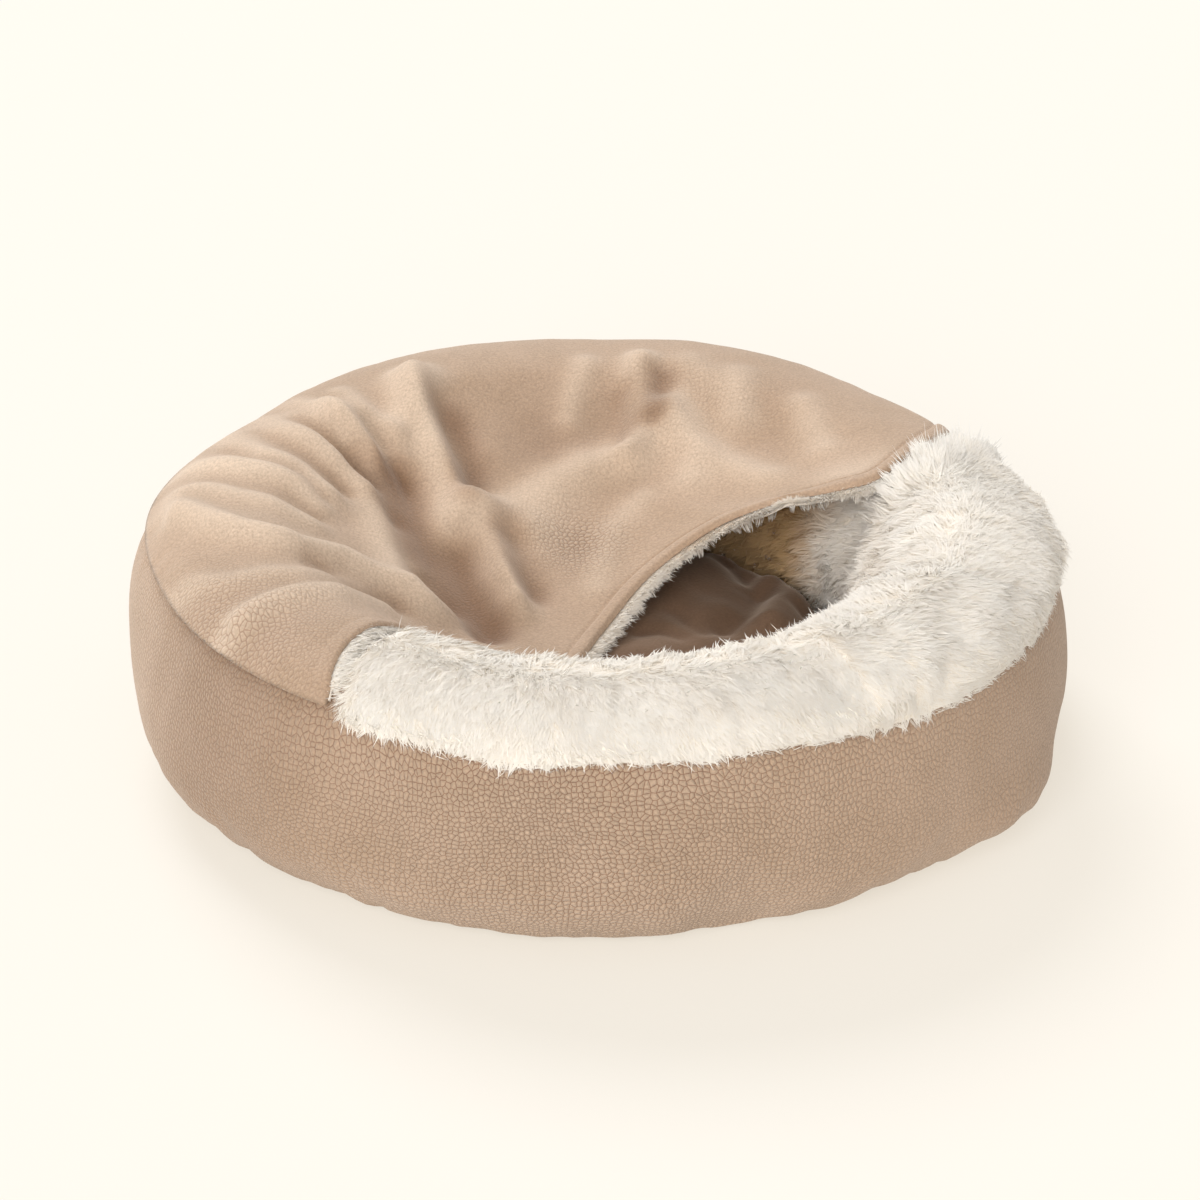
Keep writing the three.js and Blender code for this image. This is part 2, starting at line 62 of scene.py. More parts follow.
CAMERA_ELEVATION = 27.6
CAMERA_DISTANCE = 3000
CAMERA_LENS = 138.8
CAMERA_AIM = (-1, 5.7, 90.9)


def add_camera():
    camera_data = bpy.data.cameras.new("camera")
    camera_data.sensor_width = 36
    camera_data.lens = CAMERA_LENS
    camera = bpy.data.objects.new("camera", camera_data)
    bpy.context.scene.collection.objects.link(camera)
    rise = math.radians(CAMERA_ELEVATION)
    back = np.array([0, -math.cos(rise), math.sin(rise)]) * CAMERA_DISTANCE
    camera.location = (np.array(CAMERA_AIM) + AXIS_SHIFT + back) * MM
    camera.rotation_euler = (math.radians(90 - CAMERA_ELEVATION), 0, 0)
    bpy.context.scene.camera = camera


add_camera()


# Numbers and shapes

def smoothstep(x, low, high):
    t = np.clip((x - low) / (high - low), 0, 1)
    return t * t * (3 - 2 * t)


def mix(a, b, share):
    return a + (b - a) * share


def bell(distance, width):
    """1 in the middle, fading softly to both sides: about a third is left at one width from it."""
    return np.exp(-((distance / width) ** 2))


def between(start, end, leave, land, t):
    """A smooth curve from start to end, at t from 0 to 1, with its slopes where it leaves and lands."""
    return ((2 * start - 2 * end + leave + land) * t
            + (-3 * start + 3 * end - 2 * leave - land)) * t * t + leave * t + start


def stretch_at(t, count):
    """Which of a number of equal stretches t from 0 to 1 falls in, and how far along it."""
    place = np.clip(t, 0, 1) * count
    i = np.minimum(place.astype(int), count - 1)
    return i, place - i


def along_table(values, t):
    """A row of evenly spaced values, read with a smooth curve at t from 0 to 1."""
    values = np.asarray(values, float)
    last = len(values) - 1
    i, w = stretch_at(t, last)
    p0, p1 = values[np.maximum(i - 1, 0)], values[i]
    p2, p3 = values[i + 1], values[np.minimum(i + 2, last)]
    return between(p1, p2, (p2 - p0) / 2, (p3 - p1) / 2, w)


def through(points, t):
    """A smooth curve through the points, at t from 0 to 1. Its slopes allow for the points' uneven
    distances, so it doesn't swing out where they are close."""
    p = np.asarray(points, float)
    p = np.vstack([2 * p[0] - p[1], p, 2 * p[-1] - p[-2]])
    i, w = stretch_at(t, len(points) - 1)
    p0, p1, p2, p3 = p[i], p[i + 1], p[i + 2], p[i + 3]
    step0, step1, step2 = (np.linalg.norm(end - start, axis=-1, keepdims=True) ** 0.5
                           for start, end in ((p0, p1), (p1, p2), (p2, p3)))
    leave = ((p1 - p0) / step0 - (p2 - p0) / (step0 + step1) + (p2 - p1) / step1) * step1
    land = ((p2 - p1) / step1 - (p3 - p1) / (step1 + step2) + (p3 - p2) / step2) * step1
    return between(p1, p2, leave, land, w[..., None])


def soft_noise(points, size, seed):
    """Smooth noise from -1 to 1 whose lumps are about size across. Large primes scramble the number
    of each cell into its value."""
    cell = np.floor(points / size).astype(np.int64)
    part = points / size - cell
    part = part * part * (3 - 2 * part)
    total = np.zeros(points.shape[:-1])
    for corner in np.ndindex(2, 2, 2):
        at = cell + np.array(corner)
        key = at[..., 0] * 73856093 ^ at[..., 1] * 19349663 ^ at[..., 2] * 83492791 ^ seed * 2654435761
        key = (key ^ (key >> 13)) * 1274126177 & 0xFFFFFFFF
        value = ((key ^ (key >> 16)) & 0xFFFF) / 32767.5 - 1
        weight = np.prod(np.where(np.array(corner) == 1, part, 1 - part), axis=-1)
        total += value * weight
    return total


def lumpy(points, layers):
    """Layers of soft noise added up, where a row is the lumps' size, the seed and their height."""
    return sum(height * soft_noise(points, size, seed) for size, seed, height in layers)


def unit(vectors):
    return vectors / np.maximum(np.linalg.norm(vectors, axis=-1, keepdims=True), 1e-9)


def round_axis(angle, radius, height):
    return np.stack([radius * np.cos(angle), radius * np.sin(angle), height], axis=-1)


def polar(points):
    """Each place's angle round the ring's axis, in radians, and its distance from the axis."""
    return np.arctan2(points[..., 1], points[..., 0]), np.hypot(points[..., 0], points[..., 1])


def outward_of(points):
    """The level direction from the ring's axis to each place."""
    return unit(points * [1, 1, 0])


def grid_normals(grid):
    """The normals of a grid of places whose first axis runs round and whose second runs along."""
    return unit(np.cross(np.gradient(grid, axis=0), np.gradient(grid, axis=1)))


def blurred(grid, rounds):
    """A grid of vectors, each averaged with its neighbours a number of times."""
    for _ in range(rounds):
        padded = np.pad(grid, ((1, 1), (0, 0), (0, 0)), mode="edge")
        grid = (padded[:-2] + 2 * grid + padded[2:]) / 4
        padded = np.pad(grid, ((0, 0), (1, 1), (0, 0)), mode="edge")
        grid = (padded[:, :-2] + 2 * grid + padded[:, 2:]) / 4
    return grid


def nearest_on(points, line):
    """Each place's distance from a line of straight stretches, and how far along it is nearest."""
    least = np.full(points.shape[:-1], np.inf)
    where = np.zeros(points.shape[:-1])
    for number, (start, end) in enumerate(zip(line, line[1:])):
        step = end - start
        from_start = points - start
        t = np.clip(from_start @ step / (step @ step), 0, 1)
        distance = np.linalg.norm(from_start - t[..., None] * step, axis=-1)
        nearer = distance < least
        least = np.where(nearer, distance, least)
        where = np.where(nearer, number + t, where)
    return least, where


def distance_to_line(x, y, line):
    """The distance in plan from each place to a line of straight stretches."""
    least = np.full(x.shape, np.inf)
    for (x0, y0), (x1, y1) in zip(line, line[1:]):
        length = math.hypot(x1 - x0, y1 - y0)
        t = np.clip(((x - x0) * (x1 - x0) + (y - y0) * (y1 - y0)) / length**2, 0, 1)
        least = np.minimum(least, np.hypot(x - mix(x0, x1, t), y - mix(y0, y1, t)))
    return least


def fold_lift(places, folds):
    """How far folds lift each place, where a row is a fold's height, its width and its line in plan."""
    return sum(height * bell(distance_to_line(places[..., 0], places[..., 1], line), width)
               for height, width, line in folds)


# Meshes

def in_metres(points):
    """Places in the bed's frame as the flat row of numbers that a mesh takes."""
    return ((points + AXIS_SHIFT) * MM).astype(np.float32).ravel()


def add_piece(name, points, faces, material):
    """A mesh in the bed's frame from places in millimetres and its faces, as a piece of the bed."""
    mesh = bpy.data.meshes.new(name)
    mesh.vertices.add(len(points))
    mesh.vertices.foreach_set("co", in_metres(points))
    mesh.loops.add(faces.size)
    mesh.loops.foreach_set("vertex_index", faces.astype(np.int32).ravel())
    mesh.polygons.add(len(faces))
    mesh.polygons.foreach_set("loop_start", np.arange(0, faces.size, faces.shape[1], dtype=np.int32))
    mesh.polygons.foreach_set("use_smooth", np.ones(len(faces), bool))
    mesh.update(calc_edges=True)
    mesh.materials.append(material)
    piece = bpy.data.objects.new(name, mesh)
    bpy.context.scene.collection.objects.link(piece)
    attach(piece, BODY)
    return piece


def places_of(piece):
    flat = np.empty(len(piece.data.vertices) * 3, np.float32)
    piece.data.vertices.foreach_get("co", flat)
    return flat.reshape(-1, 3) / MM - AXIS_SHIFT


def set_places(piece, points):
    piece.data.vertices.foreach_set("co", in_metres(points))
    piece.data.update()


def set_attribute(piece, name, values):
    attribute = piece.data.attributes.new(name, "FLOAT", "POINT")
    attribute.data.foreach_set("value", values.astype(np.float32))


def set_cloth_place(piece, across, up, round_across=math.inf, round_up=math.inf):
    """Where each corner of the piece's quads lies when its cloth is laid flat, in metres, for the
    pressed pattern. Where the cloth closes on itself, its length round keeps a quad's corners
    together."""
    mesh = piece.data
    corners = np.empty(len(mesh.loops), np.int32)
    mesh.loops.foreach_get("vertex_index", corners)
    flat = np.zeros((len(corners), 3), np.float32)
    for axis, (values, whole) in enumerate(((across, round_across), (up, round_up))):
        at = values[corners].reshape(-1, 4)
        if math.isfinite(whole):
            at = at + whole * np.round((at[:, :1] - at) / whole)
        flat[:, axis] = at.ravel() * MM
    places = mesh.attributes.new("cloth_place", "FLOAT_VECTOR", "CORNER")
    places.data.foreach_set("vector", flat.ravel())


def ring_faces(round_count, along_count):
    """Quads of a closed tube that runs round an axis: both directions close on themselves."""
    here = np.arange(round_count * along_count).reshape(round_count, along_count)
    beside = np.roll(here, -1, axis=0)
    return np.stack([here, beside, np.roll(beside, -1, axis=1), np.roll(here, -1, axis=1)],
                    axis=-1).reshape(-1, 4)


def closed_by_fans(grid, low_middle, high_middle):
    """The points and triangles of a shape round an axis, from a grid whose first axis runs round and
    whose second runs from underside to top. A fan of triangles round each middle closes it."""
    steps, along = grid.shape[:2]
    quads = ring_faces(steps, along)
    quads = quads[quads[:, 0] % along != along - 1]
    low = np.arange(steps) * along
    next_low = np.roll(low, -1)
    middle = np.full(steps, steps * along)
    low_fan = np.stack([next_low, low, middle], axis=1)
    high_fan = np.stack([low + along - 1, next_low + along - 1, middle + 1], axis=1)
    points = np.concatenate([grid.reshape(-1, 3), [low_middle, high_middle]])
    return points, np.concatenate([quads[:, [0, 1, 2]], quads[:, [0, 2, 3]], low_fan, high_fan])


def add_sheet(name, top, bottom, material):
    """A closed sheet as a piece, and its points: a top grid, a bottom grid behind it, and the rim
    between them."""
    count = top.shape[0] * top.shape[1]
    here = np.arange(count).reshape(top.shape[:2])
    above = np.stack([here[:-1, :-1], here[1:, :-1], here[1:, 1:], here[:-1, 1:]],
                     axis=-1).reshape(-1, 4)
    rim = np.concatenate([here[:-1, 0], here[-1, :-1], here[:0:-1, -1], here[0, :0:-1]])
    after = np.roll(rim, -1)
    side = np.stack([after, rim, rim + count, after + count], axis=1)
    faces = np.concatenate([above, above[:, ::-1] + count, side])
    points = np.concatenate([top.reshape(-1, 3), bottom.reshape(-1, 3)])
    return add_piece(name, points, faces, material), points


def set_all(target, settings):
    for name, value in settings.items():
        setattr(target, name, value)


def apply_modifier(piece, kind, settings):
    """Gives the piece a modifier with its settings, and applies it to the mesh."""
    modifier = piece.modifiers.new(kind, kind)
    set_all(modifier, settings)
    bpy.ops.object.select_all(action="DESELECT")
    bpy.context.view_layer.objects.active = piece
    piece.select_set(True)
    bpy.ops.object.modifier_apply(modifier=modifier.name)
    piece.select_set(False)


def subdivide(piece):
    apply_modifier(piece, "SUBSURF", {"levels": 1, "render_levels": 1})


# Materials

def linear(hex_colour):
    """An sRGB hex colour as linear red, green, blue and alpha."""
    channels = [int(hex_colour[i:i + 2], 16) / 255 for i in (1, 3, 5)]
    return [c / 12.92 if c <= 0.04045 else ((c + 0.055) / 1.055) ** 2.4 for c in channels] + [1]


def add_node(tree, kind, settings=None, inputs=None):
    """A node with its settings, and its inputs set to values or joined to other nodes' outputs."""
    node = tree.nodes.new(kind)
    set_all(node, settings or {})
    for name, value in (inputs or {}).items():
        if isinstance(value, bpy.types.NodeSocket):
            tree.links.new(value, node.inputs[name])
        else:
            node.inputs[name].default_value = value
    return node


def new_material(name):
    material = bpy.data.materials.new(name)
    material.use_nodes = True
    tree = material.node_tree
    tree.nodes.clear()
    return material, tree


def finish_material(tree, shader):
    add_node(tree, "ShaderNodeOutputMaterial", inputs={"Surface": shader.outputs[0]})


def per_metre(size_mm):
    """The scale of a texture whose pattern is size_mm across, on coordinates in metres."""
    return 1 / (size_mm * MM)


# Settings of a node that mixes two colours, and of one that darkens a colour by another.
COLOURS = {"data_type": "RGBA"}
DARKENING = {"data_type": "RGBA", "blend_type": "MULTIPLY"}


def brushed_nap(tree, fleck_size, fleck_roughness, cloud_size, cloud_detail, tones):
    """A nap brushed into cloudy patches of two tones: the noise of its flecks, and its colour."""
    coordinates = add_node(tree, "ShaderNodeTexCoord").outputs["Object"]
    flecks = add_node(tree, "ShaderNodeTexNoise", {},
                      {"Vector": coordinates, "Scale": per_metre(fleck_size), "Detail": 3.0,
                       "Roughness": fleck_roughness})
    clouds = add_node(tree, "ShaderNodeTexNoise", {},
                      {"Vector": coordinates, "Scale": per_metre(cloud_size), "Detail": cloud_detail})
    colour = add_node(tree, "ShaderNodeMix", COLOURS,
                      {"Factor": clouds.outputs["Fac"], "A": linear(tones[0]), "B": linear(tones[1])})
    return flecks, colour


def flecked(tree, flecks, colour, darkest, palest):
    """A colour that the flecks of the nap make darker and paler."""
    shade = add_node(tree, "ShaderNodeMapRange", {},
                     {"Value": flecks.outputs["Fac"], "From Min": 0.3, "From Max": 0.7,
                      "To Min": darkest, "To Max": palest})
    return add_node(tree, "ShaderNodeVectorMath", {"operation": "SCALE"},
                    {0: colour.outputs["Result"], "Scale": shade.outputs[0]})


# The suede's pressed pebbles, in mm, and how far in their sides and the grooves between them reach, as
# shares of a pebble. The cloth's stretch moves them by up to so much, over a broad reach.
PEBBLE = 3.4
PEBBLE_SIDE = (-0.04, 0.42)
GROOVE = (0.0, 0.13)
STRETCH = 32
STRETCH_REACH = 140


def embossed_suede():
    """Polyester faux suede with an embossed pebble grain: a short brushed nap that catches the
    light at a slant, pressed into pebbles with thin brown grooves between them, darkened partly
    for the pressed nap and partly as painted shade in the grooves. The press is uneven, so the
    pebbles are clear in some places and rubbed out in others. Painted light makes the folds'
    ridges and the wall's front paler, and painted shade makes the folds' troughs and the wall's
    sides darker."""
    material, tree = new_material("embossed faux suede")
    laid_flat, emboss, lies = [add_node(tree, "ShaderNodeAttribute", {"attribute_name": name})
                               for name in ("cloth_place", "emboss", "painted_shade")]
    stretch = add_node(tree, "ShaderNodeTexNoise", {"noise_dimensions": "2D"},
                       {"Vector": laid_flat.outputs["Vector"], "Scale": per_metre(STRETCH_REACH),
                        "Detail": 1.0})
    stretched = add_node(tree, "ShaderNodeVectorMath", {"operation": "MULTIPLY_ADD"},
                         {0: stretch.outputs["Color"], 1: (STRETCH * MM, STRETCH * MM, 0),
                          2: laid_flat.outputs["Vector"]})
    pebbles = add_node(tree, "ShaderNodeTexVoronoi",
                       {"feature": "DISTANCE_TO_EDGE", "voronoi_dimensions": "2D"},
                       {"Vector": stretched.outputs[0], "Scale": per_metre(PEBBLE), "Randomness": 0.78})
    domed, off_groove = [add_node(tree, "ShaderNodeMapRange", {"interpolation_type": "SMOOTHSTEP"},
                                  {"Value": pebbles.outputs["Distance"], "From Min": start,
                                   "From Max": end})
                         for start, end in (PEBBLE_SIDE, GROOVE)]
    raised = add_node(tree, "ShaderNodeMath", {"operation": "MULTIPLY"},
                      {0: domed.outputs[0], 1: emboss.outputs["Fac"]})
    flecks, colour = brushed_nap(tree, 1.7, 0.6, 45, 4.0, ("#9e8369", "#b59b85"))
    # Painted light on the folds' ridges and the wall's front, and painted shade in the folds' troughs
    # and on the wall's sides.
    painted_ridge_light = add_node(tree, "ShaderNodeMapRange", {}, {"Value": lies.outputs["Fac"]})
    painted_trough_shade = add_node(tree, "ShaderNodeMapRange", {},
                          {"Value": lies.outputs["Fac"], "From Min": 0.0, "From Max": -1.0})
    # The grooves are darkened partly for their pressed nap and partly as painted shade in them.
    in_grooves = add_node(tree, "ShaderNodeMapRange", {},
                          {"Value": off_groove.outputs[0], "To Min": emboss.outputs["Fac"],
                           "To Max": 0.0})
    # The first tone is painted light on the ridges, the second painted shade in the troughs.
    for share, way, tone in ((painted_ridge_light, COLOURS, "#cbb59f"), (painted_trough_shade, DARKENING, "#a98f75"),
                             (in_grooves, DARKENING, "#b39a8c")):
        colour = add_node(tree, "ShaderNodeMix", way,
                          {"Factor": share.outputs[0], "A": colour.outputs["Result"],
                           "B": linear(tone)})
    nap_bump = add_node(tree, "ShaderNodeBump", {},
                        {"Height": flecks.outputs["Fac"], "Strength": 0.8, "Distance": 0.6 * MM})
    bump = add_node(tree, "ShaderNodeBump", {},
                    {"Height": raised.outputs[0], "Strength": 0.9, "Distance": MM,
                     "Normal": nap_bump.outputs[0]})
    shader = add_node(tree, "ShaderNodeBsdfPrincipled", {},
                      {"Base Color": flecked(tree, flecks, colour, 0.8, 1.13).outputs[0],
                       "Roughness": 0.82, "IOR": 1.45, "Specular IOR Level": 0.25,
                       "Sheen Weight": 0.35, "Sheen Roughness": 0.6,
                       "Sheen Tint": linear("#fff0e2"), "Normal": bump.outputs[0]})
    finish_material(tree, shader)
    return material


def short_velvet():
    """Polyester velvet on the floor cushion: a short dense nap, coloured much darker than the suede
    as painted shade of the nest under the hood, with cloudy patches where it has been stroked
    different ways."""
    material, tree = new_material("short pile velvet")
    # These tones are darkened as painted shade of the nest under the hood.
    flecks, colour = brushed_nap(tree, 1.8, 0.5, 30, 5.0, ("#5f4836", "#745a47"))
    bump = add_node(tree, "ShaderNodeBump", {},
                    {"Height": flecks.outputs["Fac"], "Strength": 0.4, "Distance": 0.8 * MM})
    shader = add_node(tree, "ShaderNodeBsdfPrincipled", {},
                      {"Base Color": flecked(tree, flecks, colour, 0.85, 1.08).outputs[0],
                       "Roughness": 0.88, "Specular IOR Level": 0.2, "Sheen Weight": 0.4,
                       "Sheen Roughness": 0.4, "Sheen Tint": linear("#f0dcc8"),
                       "Normal": bump.outputs[0]})
    finish_material(tree, shader)
    return material


# The share of the light on a strand that comes out on its other side.
LET_THROUGH = 0.3


def faux_fur(name, is_strand):
    """Acrylic faux fur: fine, soft, off-white strands, which scatter the light so much that only the
    gaps between the locks look darker and yellower. Inside the nest, under the hood, painted shade
    makes the pile a darker, warmer cream, and painted shade darkens each strand towards its root.
    The backing is coloured a little darker than the strands, as painted shade deep in the pile, and
    it is bumpy as the roots of pile are."""
    material, tree = new_material(name)
    coordinates = add_node(tree, "ShaderNodeTexCoord").outputs["Object"]
    nest_shade = add_node(tree, "ShaderNodeAttribute", {"attribute_name": "painted_nest_shade"})
    tint = add_node(tree, "ShaderNodeTexNoise", {},
                    {"Vector": coordinates, "Scale": per_metre(25), "Detail": 3.0})
    # The backing's tones are darker than the strands', as painted shade deep in the pile; within each
    # pair the tone differs at random.
    dull, clear = ("#f9f4ed", "#fffdf9") if is_strand else ("#e2d8ca", "#ece3d7")
    cool = add_node(tree, "ShaderNodeMix", COLOURS,
                    {"Factor": tint.outputs["Fac"], "A": linear(dull), "B": linear(clear)})
    # Painted warm shade of the nest, under the hood, mixed into the cream.
    cream = add_node(tree, "ShaderNodeMix", COLOURS,
                     {"Factor": nest_shade.outputs["Fac"], "A": cool.outputs["Result"],
                      "B": linear("#d4b284")})
    inputs = {"Base Color": cream.outputs["Result"], "Roughness": 0.75, "Specular IOR Level": 0.25,
              "Sheen Weight": 0.5, "Sheen Roughness": 0.35}
    if is_strand:
        painted_root_shade, own = [add_node(tree, "ShaderNodeAttribute", {"attribute_name": attribute})
                          for attribute in ("painted_root_shade", "own_shade")]
        # Painted shade towards each strand's root, where the strands shade each other.
        root_shaded = add_node(tree, "ShaderNodeMix", DARKENING,
                          {"Factor": painted_root_shade.outputs["Fac"], "A": cream.outputs["Result"],
                           "B": linear("#f8f3ea")})
        strand = add_node(tree, "ShaderNodeVectorMath", {"operation": "SCALE"},
                          {0: root_shaded.outputs["Result"], "Scale": own.outputs["Fac"]})
        inputs["Base Color"] = strand.outputs[0]
    else:
        pile = add_node(tree, "ShaderNodeTexNoise", {},
                        {"Vector": coordinates, "Scale": per_metre(3), "Detail": 4.0})
        bump = add_node(tree, "ShaderNodeBump", {},
                        {"Height": pile.outputs["Fac"], "Strength": 0.6, "Distance": 2 * MM})
        inputs["Normal"] = bump.outputs[0]
    shader = add_node(tree, "ShaderNodeBsdfPrincipled", {}, inputs)
    if is_strand:
        through_it = add_node(tree, "ShaderNodeBsdfTranslucent", {}, {"Color": inputs["Base Color"]})
        shader = add_node(tree, "ShaderNodeMixShader", {},
                          {0: LET_THROUGH, 1: shader.outputs[0], 2: through_it.outputs[0]})
    finish_material(tree, shader)
    return material


# A thread up and a thread down take up this many mm together. The real threads are finer, and are
# drawn this coarse to show. A wave texture turns by 20 radians in each unit of its coordinates.
THREAD_PAIR = 5.655
WAVE_TURN = 20


def base_cloth():
    """Woven polyester of about 600 denier on the underside: a plain weave whose threads show as an
    even check, with a dull coated look."""
    material, tree = new_material("woven base cloth")
    coordinates = add_node(tree, "ShaderNodeTexCoord").outputs["Object"]
    across, along = [add_node(tree, "ShaderNodeTexWave", {"bands_direction": direction},
                              {"Vector": coordinates, "Distortion": 0.4,
                               "Scale": per_metre(THREAD_PAIR) * 2 * math.pi / WAVE_TURN})
                     for direction in ("X", "Y")]
    weave = add_node(tree, "ShaderNodeMath", {"operation": "MULTIPLY"},
                     {0: across.outputs["Fac"], 1: along.outputs["Fac"]})
    colour = add_node(tree, "ShaderNodeMix", COLOURS,
                      {"Factor": weave.outputs[0], "A": linear("#7a6655"), "B": linear("#9b8571")})
    bump = add_node(tree, "ShaderNodeBump", {},
                    {"Height": weave.outputs[0], "Strength": 0.5, "Distance": 0.3 * MM})
    shader = add_node(tree, "ShaderNodeBsdfPrincipled", {},
                      {"Base Color": colour.outputs["Result"], "Roughness": 0.75,
                       "Specular IOR Level": 0.3, "Normal": bump.outputs[0]})
    finish_material(tree, shader)
    return material


suede = embossed_suede()
velvet = short_velvet()
fur_backing = faux_fur("faux fur backing", False)
fur_strand = faux_fur("faux fur strand", True)
underside_cloth = base_cloth()


# The ring, as in the part's source: its rows of radius and height, and its dents and swellings.

FLOOR_GAP = 3.4
SEAM_RADIUS = 284
SEAM_HEIGHT = 143
WALL_ROWS = [(266, FLOOR_GAP), (281, 6), (293, 22), (300, 56), (297, 95), (SEAM_RADIUS, SEAM_HEIGHT)]
CORE_ROWS = [(274, 144.5), (263, 149), (248, 151.5), (230, 152), (205, 144.5), (188, 127),
             (180, 105), (179, 80), (184, 45), (194, 14)]
OPEN_ROWS = [(294, 146), (286, 157), (267, 166), (232, 170), (198, 160), (178, 138),
             (167, 112), (165, 82), (172, 46), (186, 14)]
PRESSED_ROWS = [(270.5, 148.2), (263.5, 152), (249, 156), (229, 157), (202.5, 147.5), (185.5, 127.5),
                (173, 107), (168, 82), (173, 46), (186, 14)]
INNER_FOOT = (204, FLOOR_GAP)

# Each row: the angle in degrees, the spread, and how far the crown has sunk there.
CROWN_DROPS = [(17, 13, 12), (42, 20, 10), (90, 8, 3), (120, 12, -2), (148, 7, 3), (205, 14, 2),
               (258, 16, 2.5), (341, 7, 4)]
# Each row: the angle, the spread, how far out the wall swells, and at what height and over what reach.
WALL_SWELLINGS = [(331, 12, 15, 20, 34), (345, 14, 3, 110, 50), (174, 18, 10, 120, 60),
                  (208, 16, 6, 25, 42), (228, 10, 2.5, 80, 60), (287, 6, -9, 8, 22), (90, 30, 2, 70, 60)]


def nearness(angle, middle, spread):
    """1 at a middle in degrees, fading softly over a spread in degrees."""
    return bell((np.degrees(angle) - middle + 180) % 360 - 180, spread)


def near_sum(angle, rows):
    """The sum at each angle of rows of a middle, a spread and an amount."""
    return sum(amount * nearness(angle, middle, spread) for middle, spread, amount in rows)


# The crown sinks fully above these heights and outside these radii, and the wall swells outside these.
SINKS_ABOVE = (30, 110)
SINKS_OUTSIDE = (120, 190)
SWELLS_OUTSIDE = (235, 280)


def settled(angle, radius, height):
    """The dents and swellings of the stuffed ring, the same for every piece that lies on it."""
    sinks = smoothstep(height, *SINKS_ABOVE) * smoothstep(radius, *SINKS_OUTSIDE)
    out = sum(amount * nearness(angle, middle, spread) * bell(height - at, reach)
              for middle, spread, amount, at, reach in WALL_SWELLINGS)
    return (radius + out * smoothstep(radius, *SWELLS_OUTSIDE),
            height - near_sum(angle, CROWN_DROPS) * sinks)


# The hood's edge crosses the crown along these angles, from the seam in to the inner shoulder.
HEM_RIGHT_ANGLES = [34, 31, 28, 25, 21.5, 18.5]
HEM_LEFT_ANGLES = [234.5, 233, 231.5, 230.5, 230, 230]
CROWN_RADII = (280.5, 197)
INNER_SIDE = (172, 204)

# The pile stays up for this many degrees before the hem, on the crown and down the inner side, and
# over this many more it comes to lie down.
CLEAR_ON_CROWN = 2
CLEAR_INSIDE = 11
LIES_DOWN_OVER = 3.4


def down_crown(radius):
    """The share of the way from the seam in to the inner shoulder."""
    return (CROWN_RADII[0] - radius) / (CROWN_RADII[0] - CROWN_RADII[1])


def hem_angles(down):
    """The right and the left angle of the hem, in degrees, at shares of the way down the crown."""
    return along_table(HEM_RIGHT_ANGLES, down), along_table(HEM_LEFT_ANGLES, down)


def under_hood(angle, radius):
    """From 0 where the pile stands open to 1 where the hood lies on it."""
    degrees = np.degrees(angle) % 360
    right, left = hem_angles(down_crown(radius))
    clear = mix(CLEAR_INSIDE, CLEAR_ON_CROWN, smoothstep(radius, *INNER_SIDE))
    past_right = smoothstep(degrees, right - clear - LIES_DOWN_OVER, right - clear)
    past_left = smoothstep(degrees, left + clear, left + clear + LIES_DOWN_OVER)
    return past_right * (1 - past_left)


# Stuffed pieces are puffed up by a short cloth simulation with air pressure inside.

PUFF_FRAMES = 20
PUFF_CLOTH = {"quality": 5, "mass": 0.3, "tension_stiffness": 20, "compression_stiffness": 20,
              "bending_stiffness": 0.4, "shrink_min": -0.03, "use_pressure": True}


def puff(piece, pressure, most, held):
    """Simulates the piece as cloth round pressed air, with the held points fixed. No point ends
    further than most millimetres from where it was."""
    before = places_of(piece)
    group = piece.vertex_groups.new(name="sewn")
    group.add([int(i) for i in np.flatnonzero(held)], 1, "REPLACE")
    cloth = piece.modifiers.new("Cloth", "CLOTH")
    set_all(cloth.settings, PUFF_CLOTH)
    cloth.settings.uniform_pressure_force = pressure
    cloth.settings.effector_weights.gravity = 0
    cloth.settings.vertex_group_mass = group.name
    cloth.point_cache.frame_end = PUFF_FRAMES
    scene = bpy.context.scene
    for number in range(1, PUFF_FRAMES + 1):
        scene.frame_set(number)
    moved = places_of(piece.evaluated_get(bpy.context.evaluated_depsgraph_get())) - before
    piece.modifiers.remove(cloth)
    piece.vertex_groups.remove(group)
    scene.frame_set(1)
    distance = np.linalg.norm(moved, axis=1, keepdims=True)
    set_places(piece, before + moved * np.minimum(1, most / np.maximum(distance, 1e-6)))


# Gathers stand up to so many degrees from an even spacing, the weakest has this share of the full
# depth, they lean by up to so many degrees in a millimetre, and widen by this share over their reach.
GATHER_SHIFT = 2.6
WEAKEST_GATHER = 0.25
GATHER_LEAN = 0.05
GATHER_WIDENS = 0.7


def gathered(angle, rise, count, seed, narrow, wide, reach):
    """How deep the gathers of cloth sewn to a seam are, from 0 to about 1: sharp at the seam, fanning
    out and fading over reach millimetres of rise from it. They stand about evenly round, and each
    has its own width in degrees, strength and lean."""
    random = np.random.default_rng(seed)
    middles = np.arange(count) / count * 360 + random.uniform(-GATHER_SHIFT, GATHER_SHIFT, count)
    widths = random.uniform(narrow, wide, count)
    strengths = random.uniform(WEAKEST_GATHER, 1, count)
    leans = np.random.default_rng(seed + 1).uniform(-GATHER_LEAN, GATHER_LEAN, count)
    away = np.maximum(rise, 0) / reach
    depth = sum(strength * nearness(angle, middle + lean * rise, width * (1 + GATHER_WIDENS * away))
                for middle, width, strength, lean in zip(middles, widths, strengths, leans))
    return depth * np.exp(-away)


# The ring's wall and its stuffed core

RING_STEPS = 200
WALL_STEPS = 22
CORE_STEPS = 22
FOOT_STEPS = 5
# The wall's radius, the middle of the ring's section and that section's radius, for the cloth's map.
WALL_RADIUS = 290
RING_MIDDLE = (232, 75)
SECTION_RADIUS = 72
